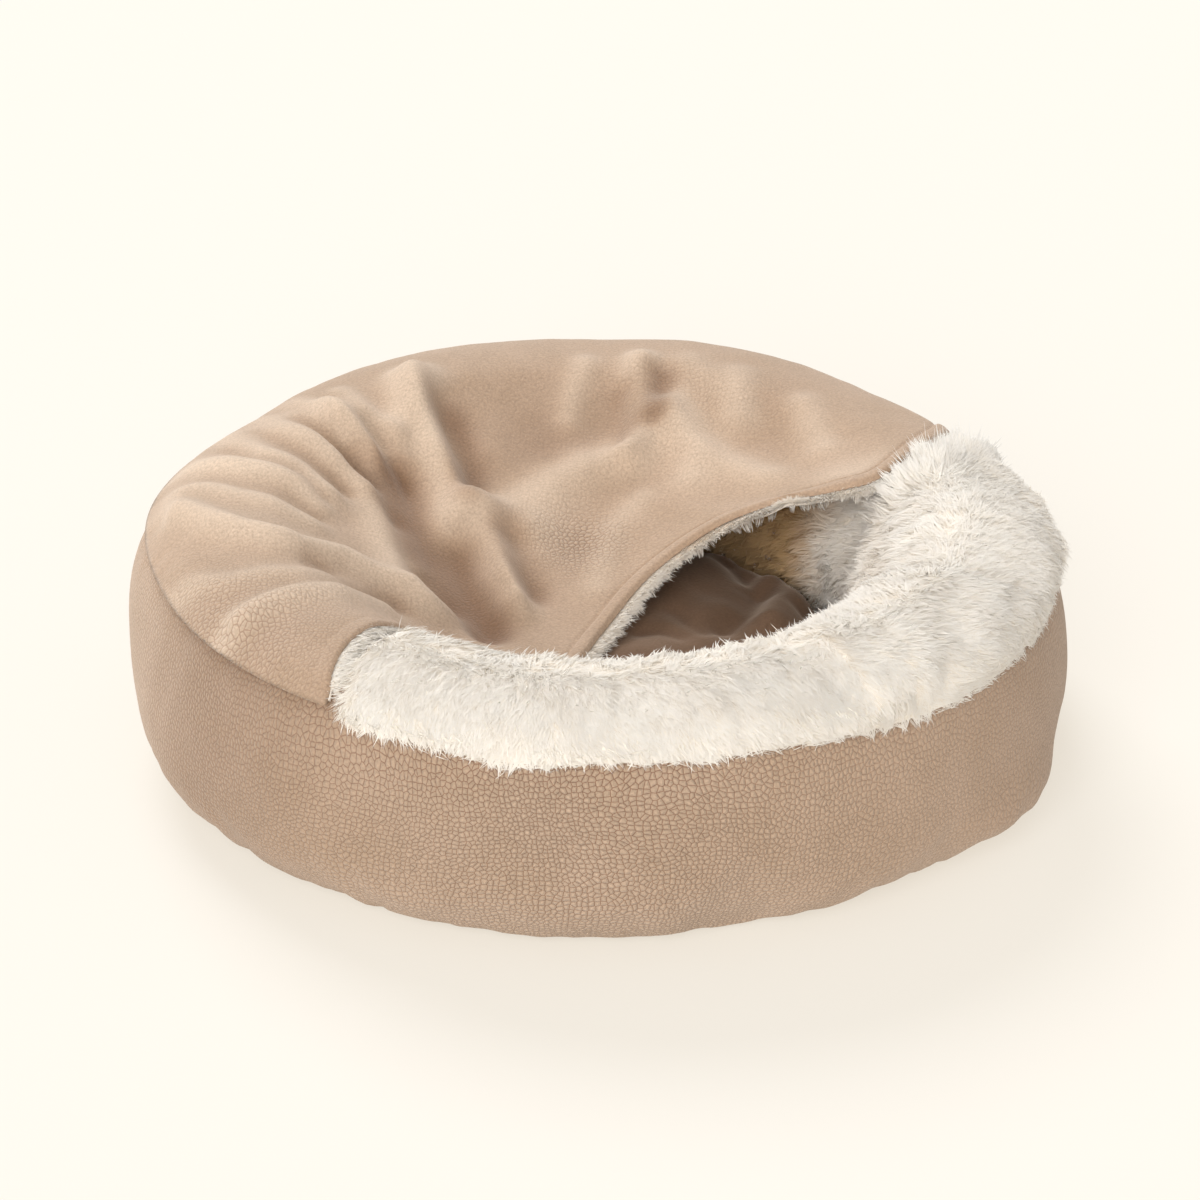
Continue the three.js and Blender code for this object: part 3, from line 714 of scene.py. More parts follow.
# The air pressure in the ring, how far it may swell, and how much smaller its wall starts for that.
RING_PRESSURE = 3
RING_SWELLS = 3
WALL_SHRINK = 2.4
# The radii between which the wall's shrinking, its waves and gathers, and its lifted foot set in, and
# the heights between which its waves do.
SHRINKS_OUTSIDE = (272, 284)
WALL_OUTSIDE = (262, 276)
LIFTS_OUTSIDE = (268, 282)
WAVES_ABOVE = (6, 30)
# Each row of gathers: their number and seed, the narrowest and the widest, and their reach.
FOOT_GATHERS = (52, 11, 0.9, 2.2, 22)
SEAM_GATHERS = (52, 16, 0.8, 1.5, 20)
FOOT_GATHER_DEPTH = 2.8
SEAM_GATHER_DEPTH = 2.2
SEAM_DEPTH = 1.6
SEAM_WIDTH = 2.2
# How far the gathers at the wall's foot lift its edge, and how far up the lift fades.
FOOT_LIFT = 6.5
FOOT_LIFT_FADE = 16
# The wall's soft waves, taller than they are wide, and its smaller ones: size, seed and height.
TALL_WAVES = (70, 3, 1.6)
TALL_SQUASH = [1, 1, 0.7]
SMALL_WAVES = (28, 4, 0.5)
# How clear the pebbles are everywhere, and where round the wall they are clearest: angle and spread.
CLEAR_EVERYWHERE = 0.4
CLEAREST_PEBBLES = (266, 40)
# Painted light on the wall's front and painted shade on its sides: angle, spread and strength.
WALL_PAINTED_LIGHT = [(268, 30, 0.18), (214, 18, -0.36), (338, 22, -0.25)]


def ring_path():
    """The ring's section as a closed row of radius and height: wall, core and foot."""
    wall = through(WALL_ROWS, np.linspace(0, 1, WALL_STEPS))
    core = through([WALL_ROWS[-1], *CORE_ROWS, INNER_FOOT], np.linspace(0, 1, CORE_STEPS))[1:]
    foot = mix(np.array(INNER_FOOT), np.array(WALL_ROWS[0]),
               np.linspace(0, 1, FOOT_STEPS)[1:-1, None])
    return np.concatenate([wall, core, foot])


def make_ring():
    path = ring_path()
    angle = np.linspace(0, 2 * math.pi, RING_STEPS, endpoint=False)[:, None]
    radius, height = settled(angle, path[None, :, 0], path[None, :, 1])
    radius = radius - WALL_SHRINK * smoothstep(path[None, :, 0], *SHRINKS_OUTSIDE)
    points = round_axis(angle, radius, height).reshape(-1, 3)
    piece = add_piece("ring_cover", points, ring_faces(RING_STEPS, len(path)), suede)
    order = np.tile(np.arange(len(path)), RING_STEPS)
    is_foot = (order <= 1) | (order >= WALL_STEPS + CORE_STEPS - 2)
    is_seam = order == WALL_STEPS - 1
    puff(piece, RING_PRESSURE, RING_SWELLS, is_foot | is_seam)
    subdivide(piece)
    points = places_of(piece)
    angle, radius = polar(points)
    height = points[:, 2].copy()
    foot_gathers = gathered(angle, height - 4, *FOOT_GATHERS)
    seam_gathers = gathered(angle, SEAM_HEIGHT - height, *SEAM_GATHERS)
    waves = lumpy(points * TALL_SQUASH, [TALL_WAVES]) + lumpy(points, [SMALL_WAVES])
    swells = (waves * smoothstep(height, *WAVES_ABOVE) - FOOT_GATHER_DEPTH * foot_gathers
              - SEAM_GATHER_DEPTH * seam_gathers - SEAM_DEPTH * bell(height - SEAM_HEIGHT, SEAM_WIDTH))
    points += outward_of(points) * (swells * smoothstep(radius, *WALL_OUTSIDE))[:, None]
    lift = FOOT_LIFT * foot_gathers * np.exp(-np.maximum(height - 3, 0) / FOOT_LIFT_FADE)
    points[:, 2] += lift * smoothstep(radius, *LIFTS_OUTSIDE)
    set_places(piece, points)
    set_attribute(piece, "emboss", mix(CLEAR_EVERYWHERE, 1, nearness(angle, *CLEAREST_PEBBLES)))
    # Painted light on the wall's front and painted shade on its sides.
    set_attribute(piece, "painted_shade", near_sum(angle, WALL_PAINTED_LIGHT))
    from_front = np.arctan2(points[:, 0], -points[:, 1])
    about_middle = np.arctan2(points[:, 2] - RING_MIDDLE[1], radius - RING_MIDDLE[0])
    set_cloth_place(piece, from_front * WALL_RADIUS, about_middle * SECTION_RADIUS,
                    2 * math.pi * WALL_RADIUS, 2 * math.pi * SECTION_RADIUS)
    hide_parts("bolster")


make_ring()


# The panel under the ring

BASE_RADIUS = 268
BASE_THICKNESS = 3
BASE_RINGS = 14
BASE_STEPS = 180
# The panel is drawn in under the ring, fully outside these radii, and more at one angle, over its
# spread.
DRAWN_OUTSIDE = (225, 262)
BASE_DRAWN_IN = 6
BASE_DENT = 9
DENT_PLACE = (287, 8)
BASE_GATHERS = (60, 8, 0.9, 1.6, 6)
BASE_GATHER_DEPTH = 0.5
# Its rim, from the groove beside the turned-in seam: how far inside its radius, and how high.
BASE_RIM = [(8.5, 0.7), (7, 0.7), (5.5, 0.05), (1.5, 0.1), (0.3, 0.8), (0, 1.6), (0.4, 2.6),
            (1.5, BASE_THICKNESS)]


def make_base():
    """A flat round panel with its seam allowance turned in: a shallow groove runs round its rim."""
    angle = np.linspace(0, 2 * math.pi, BASE_STEPS, endpoint=False)[:, None]
    under = np.linspace(4, BASE_RADIUS - 10, BASE_RINGS)
    path = np.array([(r, 0.0) for r in under] + [(BASE_RADIUS - r, h) for r, h in BASE_RIM]
                    + [(r, BASE_THICKNESS) for r in under[::-1]])
    reach, height = path[None, :, 0], path[None, :, 1]
    pinch = BASE_GATHER_DEPTH * gathered(angle, np.abs(reach - BASE_RADIUS), *BASE_GATHERS)
    dented = BASE_DRAWN_IN + BASE_DENT * nearness(angle, *DENT_PLACE)
    radius = reach - pinch - dented * smoothstep(reach, *DRAWN_OUTSIDE)
    grid = round_axis(angle, radius, np.broadcast_to(height, radius.shape))
    points, faces = closed_by_fans(grid, (0, 0, 0), (0, 0, BASE_THICKNESS))
    piece = add_piece("base_cloth", points, faces, underside_cloth)
    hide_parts("base_panel")


make_base()


# The floor cushion

CUSHION_STEPS = 96
CUSHION_RADIUS = 160
CUSHION_CROWN = 78
CUSHION_EDGE = 58
# The cushion starts smaller, because it swells under its air pressure, by up to so much.
CUSHION_SHRINK = 3
CUSHION_PRESSURE = 4
CUSHION_SWELLS = 7
CUSHION_VOXEL = 6
# It stays put below this height, where it rests.
CUSHION_RESTS = 6
# Its seam: its height, its width and depth, and the gathers along it and their depth.
CUSHION_SEAM = 44
CUSHION_SEAM_WIDTH = 2.4
CUSHION_SEAM_DEPTH = 1.8
CUSHION_GATHERS = (44, 31, 1.2, 2.4, 12)
CUSHION_GATHER_DEPTH = 1.6
# The seam and its gathers set in between these radii, and folds and lumps between these heights.
CUSHION_SEAM_OUTSIDE = (130, 146)
CUSHION_GATHERS_OUTSIDE = (120, 140)
CUSHION_FOLDS_ABOVE = (40, 60)
# The lumps of its filling: size, seed and height.
CUSHION_LUMPS = [(46, 21, 2.2), (17, 22, 0.7)]
# Where the cushion has risen into a fold or sunk, seen from above: height, width and line.
CUSHION_FOLDS = [
    (-8, 11, [(86, 96), (94, 80), (103, 46), (95, 14), (78, -8)]),
    (7, 17, [(134, 66), (122, 38), (112, 8)]),
    (5, 9, [(98, 60), (109, 74), (122, 84)]),
    (6, 26, [(41, 57), (65, 79), (80, 98)]),
    (-3, 8, [(48, 6), (56, -10), (64, -18)]),
    (-3, 8, [(24, -26), (38, -22), (50, -28)]),
    (4, 20, [(20, -60), (60, -80), (100, -70)]),
]


def cushion_path(angle):
    """The cushion's section at each angle, from the middle of its underside to its crown."""
    wave = 1.6 * np.sin(3 * angle + 0.6) + 1.1 * np.sin(5 * angle + 2)
    edge = CUSHION_EDGE + wave
    radius = CUSHION_RADIUS + 0.6 * wave
    rows = [(radius - 22, FLOOR_GAP), (radius - 7, 9), (radius - 1, 20), (radius, 32),
            (radius - 5, 46), (radius - 18, edge),
            (radius * 0.68, mix(edge, CUSHION_CROWN, 0.55) + wave),
            (radius * 0.4, mix(edge, CUSHION_CROWN, 0.88)), (radius * 0.12, CUSHION_CROWN)]
    return [(r - CUSHION_SHRINK, np.full_like(angle, h) if np.isscalar(h) else h) for r, h in rows]


def make_cushion():
    angle = np.linspace(0, 2 * math.pi, CUSHION_STEPS, endpoint=False)
    grid = np.stack([round_axis(angle, r, h) for r, h in cushion_path(angle)], axis=1)
    points, faces = closed_by_fans(grid, (0, 0, FLOOR_GAP), (0, 0, CUSHION_CROWN))
    piece = add_piece("floor_cushion_cover", points, faces, velvet)
    apply_modifier(piece, "REMESH", {"mode": "VOXEL", "voxel_size": CUSHION_VOXEL * MM})
    puff(piece, CUSHION_PRESSURE, CUSHION_SWELLS, places_of(piece)[:, 2] < CUSHION_RESTS)
    subdivide(piece)
    points = places_of(piece)
    angle, radius = polar(points)
    from_seam = points[:, 2] - CUSHION_SEAM
    seam = bell(from_seam, CUSHION_SEAM_WIDTH) * smoothstep(radius, *CUSHION_SEAM_OUTSIDE)
    gathers = gathered(angle, np.abs(from_seam), *CUSHION_GATHERS)
    gathers = gathers * smoothstep(radius, *CUSHION_GATHERS_OUTSIDE)
    lift = fold_lift(points, CUSHION_FOLDS) + lumpy(points, CUSHION_LUMPS)
    drawn_in = CUSHION_SEAM_DEPTH * seam + CUSHION_GATHER_DEPTH * gathers
    points -= outward_of(points) * drawn_in[:, None]
    points[:, 2] += lift * smoothstep(points[:, 2], *CUSHION_FOLDS_ABOVE)
    points[:, 2] = np.maximum(points[:, 2], FLOOR_GAP)
    set_places(piece, points)
    for polygon in piece.data.polygons:
        polygon.use_smooth = True
    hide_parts("floor_cushion")


make_cushion()


# The hood, as in the part's source

# Each row on the ring: radius, height where the hood is drawn taut, and height elsewhere.
HOOD_ROWS = [(280.5, 146.5, 146.5), (268, 156, 156), (250, 162, 162), (230, 165, 163.5),
             (213, 164.5, 161), (197, 161, 153.5)]
TAUT_SHARE = 0.16
OVER_CROWN = 0.4
HEM_MIDDLE = [(122, 50, 141.5), (78, 43, 126), (34, 14, 106), (2, -38, 91), (-20, -86, 87),
              (-44, -118, 92), (-72, -132, 108)]
SAG_AT_SHOULDER = 1.15
SAG_AT_HEM = 0.9
HALF_GAP = 0.25
SHELL_THICKNESS = 2.6
ROOM_ON_RING = 0.3
ROOM_IN_HOLLOW = 14

# The main folds: height, width and line in plan. Troughs have a negative height.
HOOD_FOLDS = [
    (-11, 14, [(-136, 85), (-126, 49), (-117, 9), (-104, -18), (-77, -46)]),
    (6, 14, [(-172, 128), (-152, 84), (-145, 33), (-136, -20), (-116, -48)]),
    (7, 12, [(-134, 176), (-121, 140), (-106, 108), (-95, 84), (-98, 62)]),
    (-4, 12, [(-98, 148), (-86, 116), (-88, 92)]),
    (9, 12, [(-80, 80), (-71, 52), (-65, 16), (-56, -14)]),
    (-6, 13, [(-92, 30), (-84, -2), (-68, -46)]),
    (-3, 12, [(-58, 66), (-49, 30), (-43, -8)]),
    (6, 11, [(24, 218), (22, 196), (18, 160), (14, 140)]),
    (-4, 11, [(38, 200), (34, 178), (31, 160)]),
    (5, 15, [(-62, 78), (-32, 112), (-1, 125), (27, 142), (44, 172)]),
    (6, 14, [(44, 172), (60, 138), (80, 118), (110, 92)]),
    (3, 11, [(27, 94), (9, 66), (2, 36), (-3, 6)]),
    (3, 14, [(60, 212), (87, 177), (97, 153)]),
    (5, 11, [(-276, 4), (-244, -40), (-209, -56), (-166, -36), (-129, -38)]),
    (4.5, 11, [(-262, -97), (-230, -108), (-190, -99), (-166, -76)]),
    (3.5, 11, [(-221, -152), (-197, -140), (-170, -118)]),
    (4, 12, [(-271, 66), (-237, 52), (-204, 42), (-178, 34)]),
    (4, 12, [(-240, 106), (-212, 98), (-180, 80)]),
    (3, 12, [(-207, 128), (-180, 120)]),
]

# Sharper ridges and creases, which the photograph shows on the cloth alone.
HOOD_CREASES = [
    (6.2, 12, [(-266, -14), (-227, -50), (-194, -57), (-168, -42), (-140, -45), (-107, -51),
               (-86, -38)]),
    (-3.8, 10, [(-180, -68), (-152, -81), (-132, -67)]),
    (5.6, 12, [(-240, -160), (-220, -154), (-197, -144), (-170, -130), (-141, -90)]),
    (4.5, 9, [(-274, 22), (-254, 18), (-233, 4), (-208, -2), (-186, -6)]),
    (4.5, 9, [(-275, 62), (-251, 54), (-230, 40), (-199, 32), (-184, 18)]),
    (5, 9, [(-250, 106), (-239, 88), (-220, 66), (-197, 55), (-181, 38)]),
    (5.5, 9, [(-230, 136), (-212, 112), (-195, 94), (-178, 78), (-158, 62)]),
    (5, 9, [(-205, 152), (-185, 136), (-172, 116), (-160, 98)]),
    (6.5, 9, [(-182, 138), (-175, 118), (-155, 99), (-142, 88), (-132, 69), (-124, 34), (-117, 6)]),
    (-3.8, 9, [(-166, 90), (-150, 66), (-136, 46)]),
    (5, 8, [(-174, 162), (-160, 140), (-150, 131), (-139, 125)]),
    (6, 11, [(-128, 180), (-131, 152), (-138, 128), (-134, 108)]),
    (7, 14, [(-122, 184), (-121, 150), (-112, 124), (-99, 98), (-94, 74), (-99, 54)]),
    (-5.0, 12, [(-105, 158), (-99, 139), (-89, 96), (-88, 72)]),
    (6.5, 12, [(-88, 74), (-80, 52), (-76, 34), (-67, 8), (-56, -17)]),
    (5.0, 12, [(-86, 72), (-70, 71), (-52, 66)]),
    (-3.8, 14, [(-98, 18), (-84, -8), (-72, -30)]),
    (-4.4, 12, [(-66, 48), (-58, 20), (-46, 2)]),
    (6, 10, [(31, 214), (33, 198), (32, 177), (27, 148), (20, 130)]),
    (-3.8, 9, [(42, 200), (40, 163)]),
    (-4.4, 10, [(14, 190), (15, 146)]),
    (5.6, 14, [(43, 170), (56, 156), (66, 129), (62, 106)]),
    (4.4, 10, [(-10, 216), (-18, 190), (-22, 166)]),
    (4.4, 12, [(94, 197), (93, 159)]),
    (4.4, 12, [(136, 162), (147, 112)]),
    (4.4, 16, [(-66, 7), (-50, 50), (-34, 87), (-11, 127), (22, 132)]),
    (7, 26, [(198, 66), (168, 60)]),
    (-2.6, 6, [(-252, 34), (-232, 22), (-204, 14), (-185, 6)]),
    (-2.6, 6, [(-245, 78), (-226, 56), (-198, 44), (-182, 28)]),
    (-2.6, 6, [(-228, 102), (-208, 80), (-188, 66), (-168, 50)]),
    (-2.6, 6, [(-202, 122), (-184, 104), (-168, 86), (-152, 72)]),
]


def hood_on_crown(share, down):
    """The hood's middle surface over the crown: down runs from 0 at the seam to 1 at the shoulder."""
    angle = np.radians(mix(*hem_angles(down), share))
    row = through(HOOD_ROWS, down)
    taut = bell(share, TAUT_SHARE)
    radius, height = settled(angle, row[..., 0], mix(row[..., 2], row[..., 1], taut))
    return round_axis(angle, radius, height)


def hood_in_hollow(share, t):
    """The hood's middle surface from the inner shoulder at t 0, down its sag to the hem at t 1."""
    start = hood_on_crown(share, np.ones_like(share))
    just_before = hood_on_crown(share, np.full_like(share, 0.9))
    end = through(HEM_MIDDLE, share)
    span = (end - start) * [1, 1, 0]
    reach = np.linalg.norm(span, axis=-1, keepdims=True)
    leave = unit(start - just_before) * reach * SAG_AT_SHOULDER
    return between(start, end, leave, span * SAG_AT_HEM, t[..., None])


def hood_middle(share, inward):
    """The hood's smooth middle surface: share runs from its right end to its left, and inward
    from the seam to the hem in the hollow."""
    on_crown = hood_on_crown(share, np.clip(inward / OVER_CROWN, 0, 1))
    in_hollow = hood_in_hollow(share, np.clip((inward - OVER_CROWN) / (1 - OVER_CROWN), 0, 1))
    return np.where((inward <= OVER_CROWN)[..., None], on_crown, in_hollow)


# The step over which the surface's slopes are taken, and how many rounds of averaging the normals
# get, as a share of the places from end to end.
SLOPE_STEP = 0.004
NORMAL_BLUR = 0.08


def hood_normals(share, inward):
    """The normals of the smooth middle surface. They are averaged with their neighbours, because
    the grid's two directions run together where the hem leaves the ring."""
    across = (hood_middle(np.minimum(share + SLOPE_STEP, 1), inward)
              - hood_middle(np.maximum(share - SLOPE_STEP, 0), inward))
    down = (hood_middle(share, np.minimum(inward + SLOPE_STEP, 1))
            - hood_middle(share, np.maximum(inward - SLOPE_STEP, 0)))
    return unit(blurred(np.cross(across, down), int(NORMAL_BLUR * len(share))))


# The room under the hood widens over this share of the way in, past the crown.
ROOM_WIDENS = 0.2
# The share of the way in at which folds and creases reach their full height, at the front and at the
# back. The one turns into the other between these places towards +Y.
FOLDS_FULL = (0.14, 0.34)
CREASES_FULL = (0.1, 0.34)
BEHIND = (0, 110)


def hood_lift(place, inward):
    """How far the folds and creases lift the hood. They never press it into what it lies on."""
    room = mix(ROOM_ON_RING, ROOM_IN_HOLLOW, smoothstep(inward, OVER_CROWN, OVER_CROWN + ROOM_WIDENS))
    behind = smoothstep(place[..., 1], *BEHIND)
    folds = np.maximum(fold_lift(place, HOOD_FOLDS), -room)
    lift = (folds * smoothstep(inward, 0, mix(*FOLDS_FULL, behind))
            + fold_lift(place, HOOD_CREASES) * smoothstep(inward, 0.01, mix(*CREASES_FULL, behind)))
    return np.where(lift < 0, -room * np.tanh(-lift / room), lift)


def closer_at_ends(count, edge_count, edge):
    """Values from 0 to 1, with edge_count of them in each end share."""
    low = np.linspace(0, edge, edge_count, endpoint=False)
    middle = np.linspace(edge, 1 - edge, count - 2 * edge_count)
    return np.concatenate([low, middle, 1 - low[::-1]])


def closer_at_hem(count, hem_count, start):
    """Values from 0 at the seam to 1 at the hem: count of them, and then hem_count from the start."""
    return np.concatenate([np.linspace(0, start, count, endpoint=False),
                           np.linspace(start, 1, hem_count)])


# The hem's line takes one place of this many in the grid's edge.
HEM_PICK = 3


def hem_line(folded, normal):
    """The hem as one line of places from its right end to its left, and the way out past it, which
    never points up."""
    line, up = [np.concatenate([grid[0, :-1], grid[:-1, -1], grid[-1, ::-1]])[::HEM_PICK]
                for grid in (folded, normal)]
    ahead = blurred(np.gradient(line, axis=0)[:, None], 3)
    out = np.cross(blurred(up[:, None], 3), ahead)[:, 0]
    out[:, 2] = np.minimum(out[:, 2], 0)
    return line, unit(out)


def hood_grid(share_values, inward_values):
    """The hood's folded middle surface on a grid: its places and normals, their distances from the
    hem and from the seam, and the way out past the hem."""
    share, inward = np.meshgrid(share_values, inward_values, indexing="ij")
    middle = hood_middle(share, inward)
    normal = hood_normals(share, inward)
    folded = middle + normal * hood_lift(middle, inward)[..., None]
    line, ways = hem_line(folded, normal)
    to_hem, where = nearest_on(folded, line)
    before = where.astype(int)
    after = np.minimum(before + 1, len(ways) - 1)
    out = unit(mix(ways[before], ways[after], (where - before)[..., None]))
    steps_in = np.linalg.norm(np.diff(folded, axis=1), axis=-1)
    from_seam = np.concatenate([np.zeros((len(share_values), 1)), np.cumsum(steps_in, axis=1)], axis=1)
    return folded, normal, to_hem, from_seam, out


HEM_WIDTH = 10.5
HEM_ROLL = 1.9
# The stitched groove beside the hem, and the rounding of the hem's edge and how deep that goes.
GROOVE_DEPTH = 1.2
GROOVE_WIDTH = 1.5
EDGE_ROUND = 2.4
EDGE_DEPTH = SHELL_THICKNESS * 0.8
# The hem lies flatter on the left, past these places towards -X, by this share.
HEM_FADES = (80, 130)
HEM_FADE = 0.75


def hem_profile(to_hem, strength):
    """How far the turned hem stands above the cloth: a soft roll, a stitched groove and a rounded
    edge. Strength weakens the roll and the groove."""
    over = np.clip(to_hem / HEM_WIDTH, 0, 1)
    roll = HEM_ROLL * np.sqrt(np.maximum(1 - (2 * over - 1) ** 2, 0))
    groove = GROOVE_DEPTH * bell(to_hem - HEM_WIDTH, GROOVE_WIDTH)
    edge = 1 - np.clip(to_hem / EDGE_ROUND, 0, 1)
    return (roll - groove) * strength - EDGE_DEPTH * (1 - np.sqrt(1 - edge**2))


# The hood's small ripples: size, seed and height, and how far they lift it in all.
HOOD_RIPPLES = [(34, 41, 1.04), (15, 42, 0.36)]
RIPPLE_RISE = 0.48
HOOD_GATHERS = (46, 43, 0.7, 1.5, 16)
HOOD_GATHER_DEPTH = 1.6
# The most that ripples and gathers may sink into the suede.
MOST_SUNK = SHELL_THICKNESS * 0.6
# How far the hood's edge is tucked out and down into the seam, above and below, and over what reach.
TOP_TUCK = (3.6, 4.2)
BOTTOM_TUCK = (1.5, 2.5)
TUCK_REACH = 8
# Where the pressed pebbles still show on the hood: place in plan, strength and reach. Elsewhere they
# are as faint as this.
HOOD_PEBBLES = [(-14, 52, 0.7, 30), (-212, -168, 0.5, 60), (-250, -110, 0.3, 40), (66, 190, 0.15, 60)]
FAINT_PEBBLES = 0.1
# Painted light and shade that follow the folds: the height in mm of a clear ridge and of a clear
# trough, and how light a ridge is painted next to how dark a trough is painted.
PAINTED_LIGHT_RIDGE = 5.5
PAINTED_SHADE_TROUGH = 8
PAINTED_RIDGE_LIGHT = 0.8
# Patches of painted light and painted shade on the hood: place in plan, strength and reach.
PAINTED_LIGHT_PATCHES = [(-241, 45, 0.5, 36), (-205, -20, 0.3, 40), (-27, 144, -0.42, 45), (103, 153, -0.2, 50),
               (-140, 104, -0.45, 16), (-121, -4, 0.6, 14), (-105, 131, 0.45, 16)]


def in_patches(points, patches):
    """How strong the patches are at each place, where a row is place in plan, strength and reach."""
    return sum(amount * bell(np.hypot(points[..., 0] - x, points[..., 1] - y), reach)
               for x, y, amount, reach in patches)


def painted_fold_shade(folded):
    """Painted light and shade on the folded hood, from 1 on a ridge to -1 in a trough, with the patches
    of painted light and shade added.
    """
    rows = HOOD_FOLDS + HOOD_CREASES
    ridge = fold_lift(folded, [row for row in rows if row[0] > 0])
    sunk = np.tanh(fold_lift(folded, [row for row in rows if row[0] < 0]) / PAINTED_SHADE_TROUGH)
    light = np.tanh(ridge / PAINTED_LIGHT_RIDGE) * PAINTED_RIDGE_LIGHT * (1 + sunk) + sunk
    return light + in_patches(folded, PAINTED_LIGHT_PATCHES)


def make_hood_shell():
    folded, normal, to_hem, from_seam, _ = hood_grid(closer_at_ends(280, 20, 0.03),
                                                     closer_at_hem(86, 18, 0.93))
    off_hem = smoothstep(to_hem, 8, 22)
    ripples = (lumpy(folded, HOOD_RIPPLES) + RIPPLE_RISE) * off_hem * smoothstep(from_seam, 2, 30)
    gathers = gathered(polar(folded)[0], from_seam, *HOOD_GATHERS) * smoothstep(from_seam, 0, 3)
    lift = np.maximum(ripples - HOOD_GATHER_DEPTH * gathers, -MOST_SUNK)
    hem = hem_profile(to_hem, 1 - HEM_FADE * smoothstep(-folded[..., 0], *HEM_FADES))
    tucked = (1 - smoothstep(from_seam, 0, TUCK_REACH))[..., None]
    top, bottom = [folded + normal * above + (outward_of(folded) * out - [0, 0, down]) * tucked
                   for above, (out, down) in (
                       ((HALF_GAP + SHELL_THICKNESS + lift + hem)[..., None], TOP_TUCK),
                       (HALF_GAP, BOTTOM_TUCK))]
    piece, points = add_sheet("hood_suede", top, bottom, suede)
    set_attribute(piece, "emboss", FAINT_PEBBLES + in_patches(points, HOOD_PEBBLES))
    # Painted light on the ridges and painted shade in the troughs, fading off the hem.
    set_attribute(piece, "painted_shade", np.tile((painted_fold_shade(folded) * off_hem).ravel(), 2))
    set_cloth_place(piece, points[:, 0], points[:, 1])
    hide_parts("hood_shell")


make_hood_shell()


# The hood's lining and the pile

LINING_SHOWS = 3.5
HEM_TURN = 3
LINING_THICKNESS = 2.2
LINING_LUMPS = [(9, 51, 0.5)]


# The pile gets painted warm shade inside these radii, and fully only past these angles, under the hood.
NEST_SHADE_INSIDE = (176, 192)
NEST_SHADE_PAST = (24, 42)
LEAST_NEST_SHADE = 0.08


def set_painted_nest_shade(piece, points):
    """Painted warm shade on the pile in the nest, under the hood: a darker, warmer cream."""
    angle, radius = polar(points)
    past = mix(LEAST_NEST_SHADE, 1, smoothstep(np.degrees(angle), *NEST_SHADE_PAST))
    set_attribute(piece, "painted_nest_shade", past * (1 - smoothstep(radius, *NEST_SHADE_INSIDE)))


def lining_grid(share_values, inward_values):
    """The lining's places and normals, their distances from the hem and the seam, and the way out
    past the hem. The lining shows a little past the hem."""
    folded, normal, to_hem, from_seam, out = hood_grid(share_values, inward_values)
    shown = (np.exp(-to_hem / HEM_TURN) * smoothstep(from_seam, 4, 20))[..., None]
    return folded + (out * LINING_SHOWS - normal) * shown, normal, to_hem, from_seam, out


def make_hood_lining():
    folded, normal = lining_grid(closer_at_ends(150, 8, 0.02), closer_at_hem(36, 8, 0.95))[:2]
    thickness = (LINING_THICKNESS + lumpy(folded, LINING_LUMPS))[..., None]
    top = folded - normal * HALF_GAP
    piece, points = add_sheet("hood_fleece", top, top - normal * thickness, fur_backing)
    set_painted_nest_shade(piece, points)
    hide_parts("hood_lining")


# A strand's middle: its shares of the strand's height and of its reach, and its width there.
MIDDLE_UP = 0.62
MIDDLE_OUT = 0.42
MIDDLE_WIDTH = 0.85
# How much shorter an upright strand reaches, and how far a strand's flat side is turned at random.
UPRIGHT_REACH = 0.3
TURNED = 0.3
# The thinnest and the widest strand next to the width that is asked for, and the darkest strand.
STRAND_WIDTHS = (0.7, 1.25)
DARKEST_STRAND = 0.94


def strands(name, roots, normals, lies, lengths, lifts, width, follow, seed):
    """One mesh of tapered strands of pile. Each leans over towards its lie, by its lift above the
    panel, in two stretches to a fine tip, with its flat side outwards. Follow is how far its
    shading takes the panel's normal, as a dense pile does."""
    random = np.random.default_rng(seed)
    count = len(roots)
    lies = unit(lies - normals * np.sum(lies * normals, axis=1, keepdims=True))
    lift = lifts[:, None]
    long = lengths[:, None]
    middle = roots + (normals * lift * MIDDLE_UP + lies * MIDDLE_OUT) * long
    tips = roots + (normals * lift + lies * (1 - UPRIGHT_REACH * lift)) * long
    along = unit(tips - roots)
    side = unit(np.cross(normals, along)) + random.normal(0, TURNED, (count, 3))
    side = unit(side - along * np.sum(side * along, axis=1, keepdims=True))
    half = side * (width * random.uniform(*STRAND_WIDTHS, count))[:, None] / 2
    points = np.stack([roots - half, roots + half, middle + half * MIDDLE_WIDTH,
                       middle - half * MIDDLE_WIDTH, tips], axis=1).reshape(-1, 3)
    first = np.arange(count) * 5
    faces = np.concatenate([np.stack([first + corner for corner in corners], axis=1)
                            for corners in ((1, 0, 2), (2, 0, 3), (2, 3, 4))])
    piece = add_piece(name, points, faces, fur_strand)
    own = unit(np.cross(along, side))
    own *= np.sign(np.sum(own * normals, axis=1, keepdims=True))
    soft = unit(mix(own, normals, np.broadcast_to(follow, count)[:, None]))
    piece.data.normals_split_custom_set_from_vertices(np.repeat(soft, 5, axis=0))
    # Painted shade towards the root: full at the root, none at the tip.
    set_attribute(piece, "painted_root_shade", np.tile([1, 1, 0.4, 0.4, 0], count))
    set_attribute(piece, "own_shade", np.repeat(random.uniform(DARKEST_STRAND, 1, count), 5))
    set_painted_nest_shade(piece, points)
    return piece


